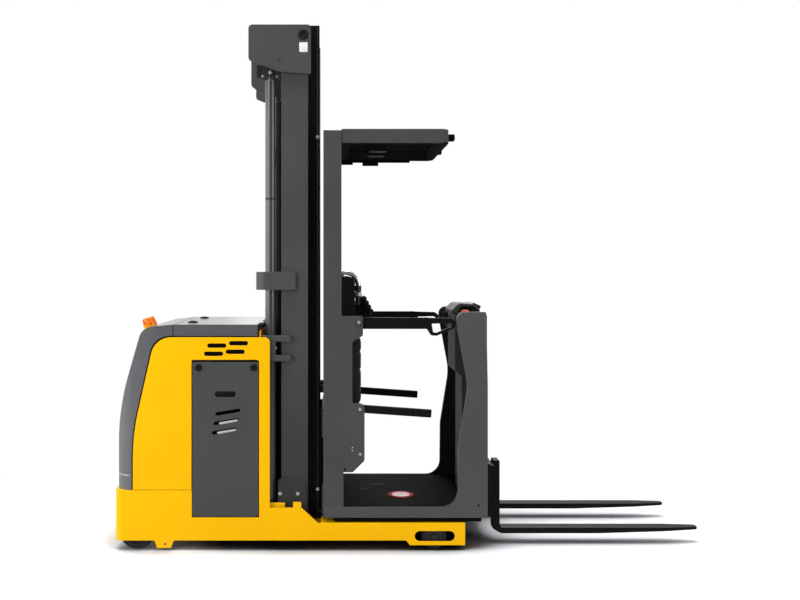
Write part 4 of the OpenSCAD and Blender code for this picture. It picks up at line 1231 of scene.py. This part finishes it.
    def head_plate(self):
        """A black plug and a rivet in each head plate and a blank white plate below the near plug."""
        s = Stations
        x, z = s.head_x - 0.042, s.head_top - 0.056
        bm = bmesh.new()
        twin_turned(bm, ((0.0045, 0.0), (0.0045, 0.0010), (0.0030, 0.0020), (0.0, 0.0022)),
                    (x - 0.131, s.head_y, z - 0.145), 24)
        twin_turned(bm, ((0.0, -0.004), (0.0255, -0.004), (0.0255, 0.0), (0.0290, 0.0004), (0.0290, 0.0018),
                         (0.0265, 0.0032), (0.0200, 0.0036), (0.0180, 0.0022), (0.0, 0.0020)),
                    (x, s.head_y, z), 48)
        add_piece("head_plugs", bm, "black_plastic", "mast")
        bm = bmesh.new()
        plate(bm, round_box(0.046, 0.054, 0.003), (x + 0.001, -s.head_y, z - 0.070), (1, 0, 0), UP,
              0.0009, 0.0004)
        add_piece("blank_plate", bm, "white", "mast")

    def plugs(self):
        """Small black plugs in the posts and cheeks."""
        s = Stations
        bm = bmesh.new()
        for x, z, radius in ((s.cab_x + 0.117, s.post_plug_z, 0.0075),
                             (s.cheek_front - 0.052, s.cheek_plug_z, 0.0060)):
            twin_turned(bm, ((radius, 0.0), (radius, 0.0008), (radius * 0.8, 0.0016), (0.0, 0.0016)),
                        (x, s.half_cab, z), 32)
        add_piece("post_plugs", bm, "black_plastic", "cab")


class ORDER_PICKER_OT_pad(Operator):
    """Swell the backrest pad by cloth pressure and sew its channels"""

    bl_idname = "order_picker.pad"
    bl_label = "Backrest"

    def execute(self, context):
        low, high = Stations.pad_low, Stations.pad_high
        room, swelling = 0.020, 0.009
        bm = bmesh.new()
        bm.from_mesh(NODES["backrest_pad"].data)
        bmesh.ops.remove_doubles(bm, verts=bm.verts, dist=1e-5)
        middle = (low + high) / 2
        span = high - low
        for v in bm.verts:
            for axis in range(3):
                v.co[axis] = middle[axis] + (v.co[axis] - middle[axis]) * (1 - room / span[axis])
            v.co.x = max(v.co.x - 0.004, low.x + 0.0015)
        mesh = bpy.data.meshes.new("backrest")
        bm.to_mesh(mesh)
        bm.free()
        pad = add_object("backrest", mesh, finishes()["pad"])
        remesh = pad.modifiers.new("voxels", "REMESH")
        remesh.mode = "VOXEL"
        remesh.voxel_size = sizes().pad_voxel
        apply_modifiers(pad, "pad")
        self.swell(pad, swelling)
        self.sew(pad)
        refine = pad.modifiers.new("refine", "SUBSURF")
        refine.levels = refine.render_levels = 1
        apply_modifiers(pad, "pad")
        smooth(pad.data, 80.0)
        fit(pad, "cab")
        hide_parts("backrest_pad")
        return {"FINISHED"}

    def swell(self, pad, cap):
        """Blow the pad up for a few frames, no point moving further than the cap."""
        rest = [v.co.copy() for v in pad.data.vertices]
        last_frame = 20
        cloth = pad.modifiers.new("swell", "CLOTH")
        cloth.settings.use_pressure = True
        cloth.settings.uniform_pressure_force = 4.0
        cloth.settings.effector_weights.gravity = 0.0
        cloth.point_cache.frame_start = 1
        cloth.point_cache.frame_end = last_frame
        for number in range(1, last_frame + 1):
            bpy.context.scene.frame_set(number)
        apply_modifiers(pad, "pad")
        bpy.context.scene.frame_set(1)
        back, front = Stations.pad_low.x + 0.0012, Stations.pad_high.x - 0.001
        for v, start in zip(pad.data.vertices, rest):
            move = v.co - start
            if move.length > cap:
                move *= cap / move.length
            v.co = start + move
            v.co.x = min(max(v.co.x, back), front)

    def sew(self, pad):
        """Press horizontal seams into the front face, with puckers along each."""
        low, high = Stations.pad_low, Stations.pad_high
        count = sizes().pad_channels
        gap = (high.z - low.z) / count
        middle = (low.x + high.x) / 2
        stitch, depth, half_width = 0.021, 0.0085, 0.0075
        for v in pad.data.vertices:
            if v.co.x < middle:
                continue
            for k in range(1, count):
                off = v.co.z - (low.z + k * gap)
                pucker = 0.8 + 0.2 * math.cos(v.co.y * math.tau / stitch)
                v.co.x -= depth * pucker * math.exp(-(off / half_width) ** 2)


class ORDER_PICKER_OT_stage(Operator):
    """Lay the floor, hang the lights and set the camera"""

    bl_idname = "order_picker.stage"
    bl_label = "Studio"

    def execute(self, context):
        self.floor()
        self.world()
        self.lights()
        self.camera()
        context.scene.view_settings.view_transform = "Standard"
        return {"FINISHED"}

    def floor(self):
        """A pale floor, shaded close to the truck, that runs into the white room."""
        f = Finish("studio floor")
        x, y, _ = f.axes()
        reach = (x * x * 0.45 + y * y) ** 0.5
        rays = f.node("ShaderNodeLightPath").outputs
        seen = Wire(f, rays["Is Camera Ray"]).larger(Wire(f, rays["Is Transmission Ray"]))
        glow = f.node("ShaderNodeEmission", None, {"Color": EVEN, "Strength": 1.0})
        near = f.node("ShaderNodeAmbientOcclusion", {"samples": 8}, {"Distance": 0.28})
        pale = f.mix(Wire(f, near.outputs["AO"]).step(0.25, 0.95), (0.02, 0.022, 0.025), (0.90, 0.915, 0.95))
        matt = f.node("ShaderNodeBsdfDiffuse", None, {"Color": f.mix(seen, (0.42, 0.42, 0.42), pale)})
        blend = f.node("ShaderNodeMixShader", None,
                       {0: seen * reach.step(0.8, 2.4), 1: matt.outputs[0], 2: glow.outputs[0]})
        f.feed(f.tree.nodes["Material Output"].inputs["Surface"], blend.outputs[0])
        half = 30.0
        mesh = bpy.data.meshes.new("studio_floor")
        mesh.from_pydata([(-half, -half, 0), (half, -half, 0), (half, half, 0), (-half, half, 0)], [],
                         [(0, 1, 2, 3)])
        floor = add_object("studio_floor", mesh, f.material)

    def world(self):
        """A white room that the camera sees at full strength and that lights the truck faintly."""
        world = bpy.data.worlds.new("studio")
        world.use_nodes = True
        t = Tree(world.node_tree)
        shader = t.tree.nodes["Background"]
        t.feed(shader.inputs["Color"], EVEN)
        t.feed(shader.inputs["Strength"], 0.21)
        white = t.node("ShaderNodeBackground", None, {"Color": EVEN, "Strength": 1.0})
        # A reflection finds the room white behind the truck and dimmer behind the camera
        way = t.node("ShaderNodeSeparateXYZ", None, {0: t.node("ShaderNodeTexCoord").outputs["Generated"]})
        dim = t.node("ShaderNodeMapRange", None, {"Value": way.outputs["Y"], "From Min": -0.85,
                                                  "From Max": -0.05, "To Min": 0.12, "To Max": 1.0})
        mirrored = t.node("ShaderNodeBackground", None, {"Color": EVEN, "Strength": dim.outputs["Result"]})
        path = t.node("ShaderNodeLightPath").outputs
        through = t.node("ShaderNodeMath", {"operation": "MAXIMUM"},
                         {0: path["Is Camera Ray"], 1: path["Is Transmission Ray"]})
        for ray, other in ((path["Is Glossy Ray"], mirrored), (through.outputs[0], white)):
            shader = t.node("ShaderNodeMixShader", None,
                            {0: ray, 1: shader.outputs[0], 2: other.outputs[0]})
        t.feed(t.tree.nodes["World Output"].inputs["Surface"], shader.outputs[0])
        bpy.context.scene.world = world

    def lights(self):
        # name, place, aim, width, height, watts
        for name, at, aim, wide, high, watts in (
            ("overhead", (-0.35, -1.1, 9.2), (0.0, 0.0, 0.6), 6.0, 4.2, 930.0),
            ("camera_left", (-4.4, -4.6, 2.6), (-0.4, 0.0, 1.2), 3.0, 3.4, 172.0),
            ("camera_right", (4.2, -3.8, 2.4), (0.2, 0.0, 0.8), 2.6, 3.0, 108.0),
            ("side_left", (-5.6, -0.9, 1.9), (-1.2, 0.0, 0.9), 2.2, 3.0, 110.0),
            ("behind", (0.4, 4.6, 3.2), (0.0, 0.0, 1.0), 4.0, 2.6, 60.0),
        ):
            light = bpy.data.lights.new(name, "AREA")
            light.shape = "RECTANGLE"
            light.size, light.size_y = wide, high
            light.energy = watts
            lamp = add_object(name, light)
            lamp.location = at
            lamp.rotation_euler = (Vector(aim) - Vector(at)).to_track_quat("-Z", "Y").to_euler()

    def camera(self):
        studio = bpy.context.scene.order_picker_studio
        data = bpy.data.cameras.new("photo_camera")
        data.sensor_width = 36.0
        data.lens = studio.lens
        data.shift_x, data.shift_y = studio.shift
        camera = add_object("photo_camera", data)
        camera.location = studio.camera_at
        camera.rotation_euler = QUARTER_TURN
        bpy.context.scene.camera = camera


OPERATORS = (
    ORDER_PICKER_OT_solids,
    ORDER_PICKER_OT_bolts,
    ORDER_PICKER_OT_chains,
    ORDER_PICKER_OT_mat,
    ORDER_PICKER_OT_knobs,
    ORDER_PICKER_OT_console,
    ORDER_PICKER_OT_shells,
    ORDER_PICKER_OT_trim,
    ORDER_PICKER_OT_pad,
    ORDER_PICKER_OT_stage,
)


class ORDER_PICKER_PT_pieces(Panel):
    """Lists the steps that dress the truck"""

    bl_idname = "ORDER_PICKER_PT_pieces"
    bl_label = "Order Picker"
    bl_space_type = "VIEW_3D"
    bl_region_type = "UI"
    bl_category = "Order Picker"

    def draw(self, context):
        for operator in OPERATORS:
            self.layout.operator(operator.bl_idname)


GROUPS = (TruckFinishes, TruckSizes, StudioSettings)


def register():
    for cls in (*GROUPS, *OPERATORS, ORDER_PICKER_PT_pieces):
        bpy.utils.register_class(cls)
    bpy.types.Scene.order_picker_finishes = PointerProperty(type=TruckFinishes)
    bpy.types.Scene.order_picker_sizes = PointerProperty(type=TruckSizes)
    bpy.types.Scene.order_picker_studio = PointerProperty(type=StudioSettings)


def unregister():
    del bpy.types.Scene.order_picker_studio
    del bpy.types.Scene.order_picker_sizes
    del bpy.types.Scene.order_picker_finishes
    for cls in reversed((*GROUPS, *OPERATORS, ORDER_PICKER_PT_pieces)):
        bpy.utils.unregister_class(cls)


def main():
    register()
    for operator in OPERATORS:
        group, name = operator.bl_idname.split(".")
        getattr(getattr(bpy.ops, group), name)()


if __name__ == "__main__":
    main()
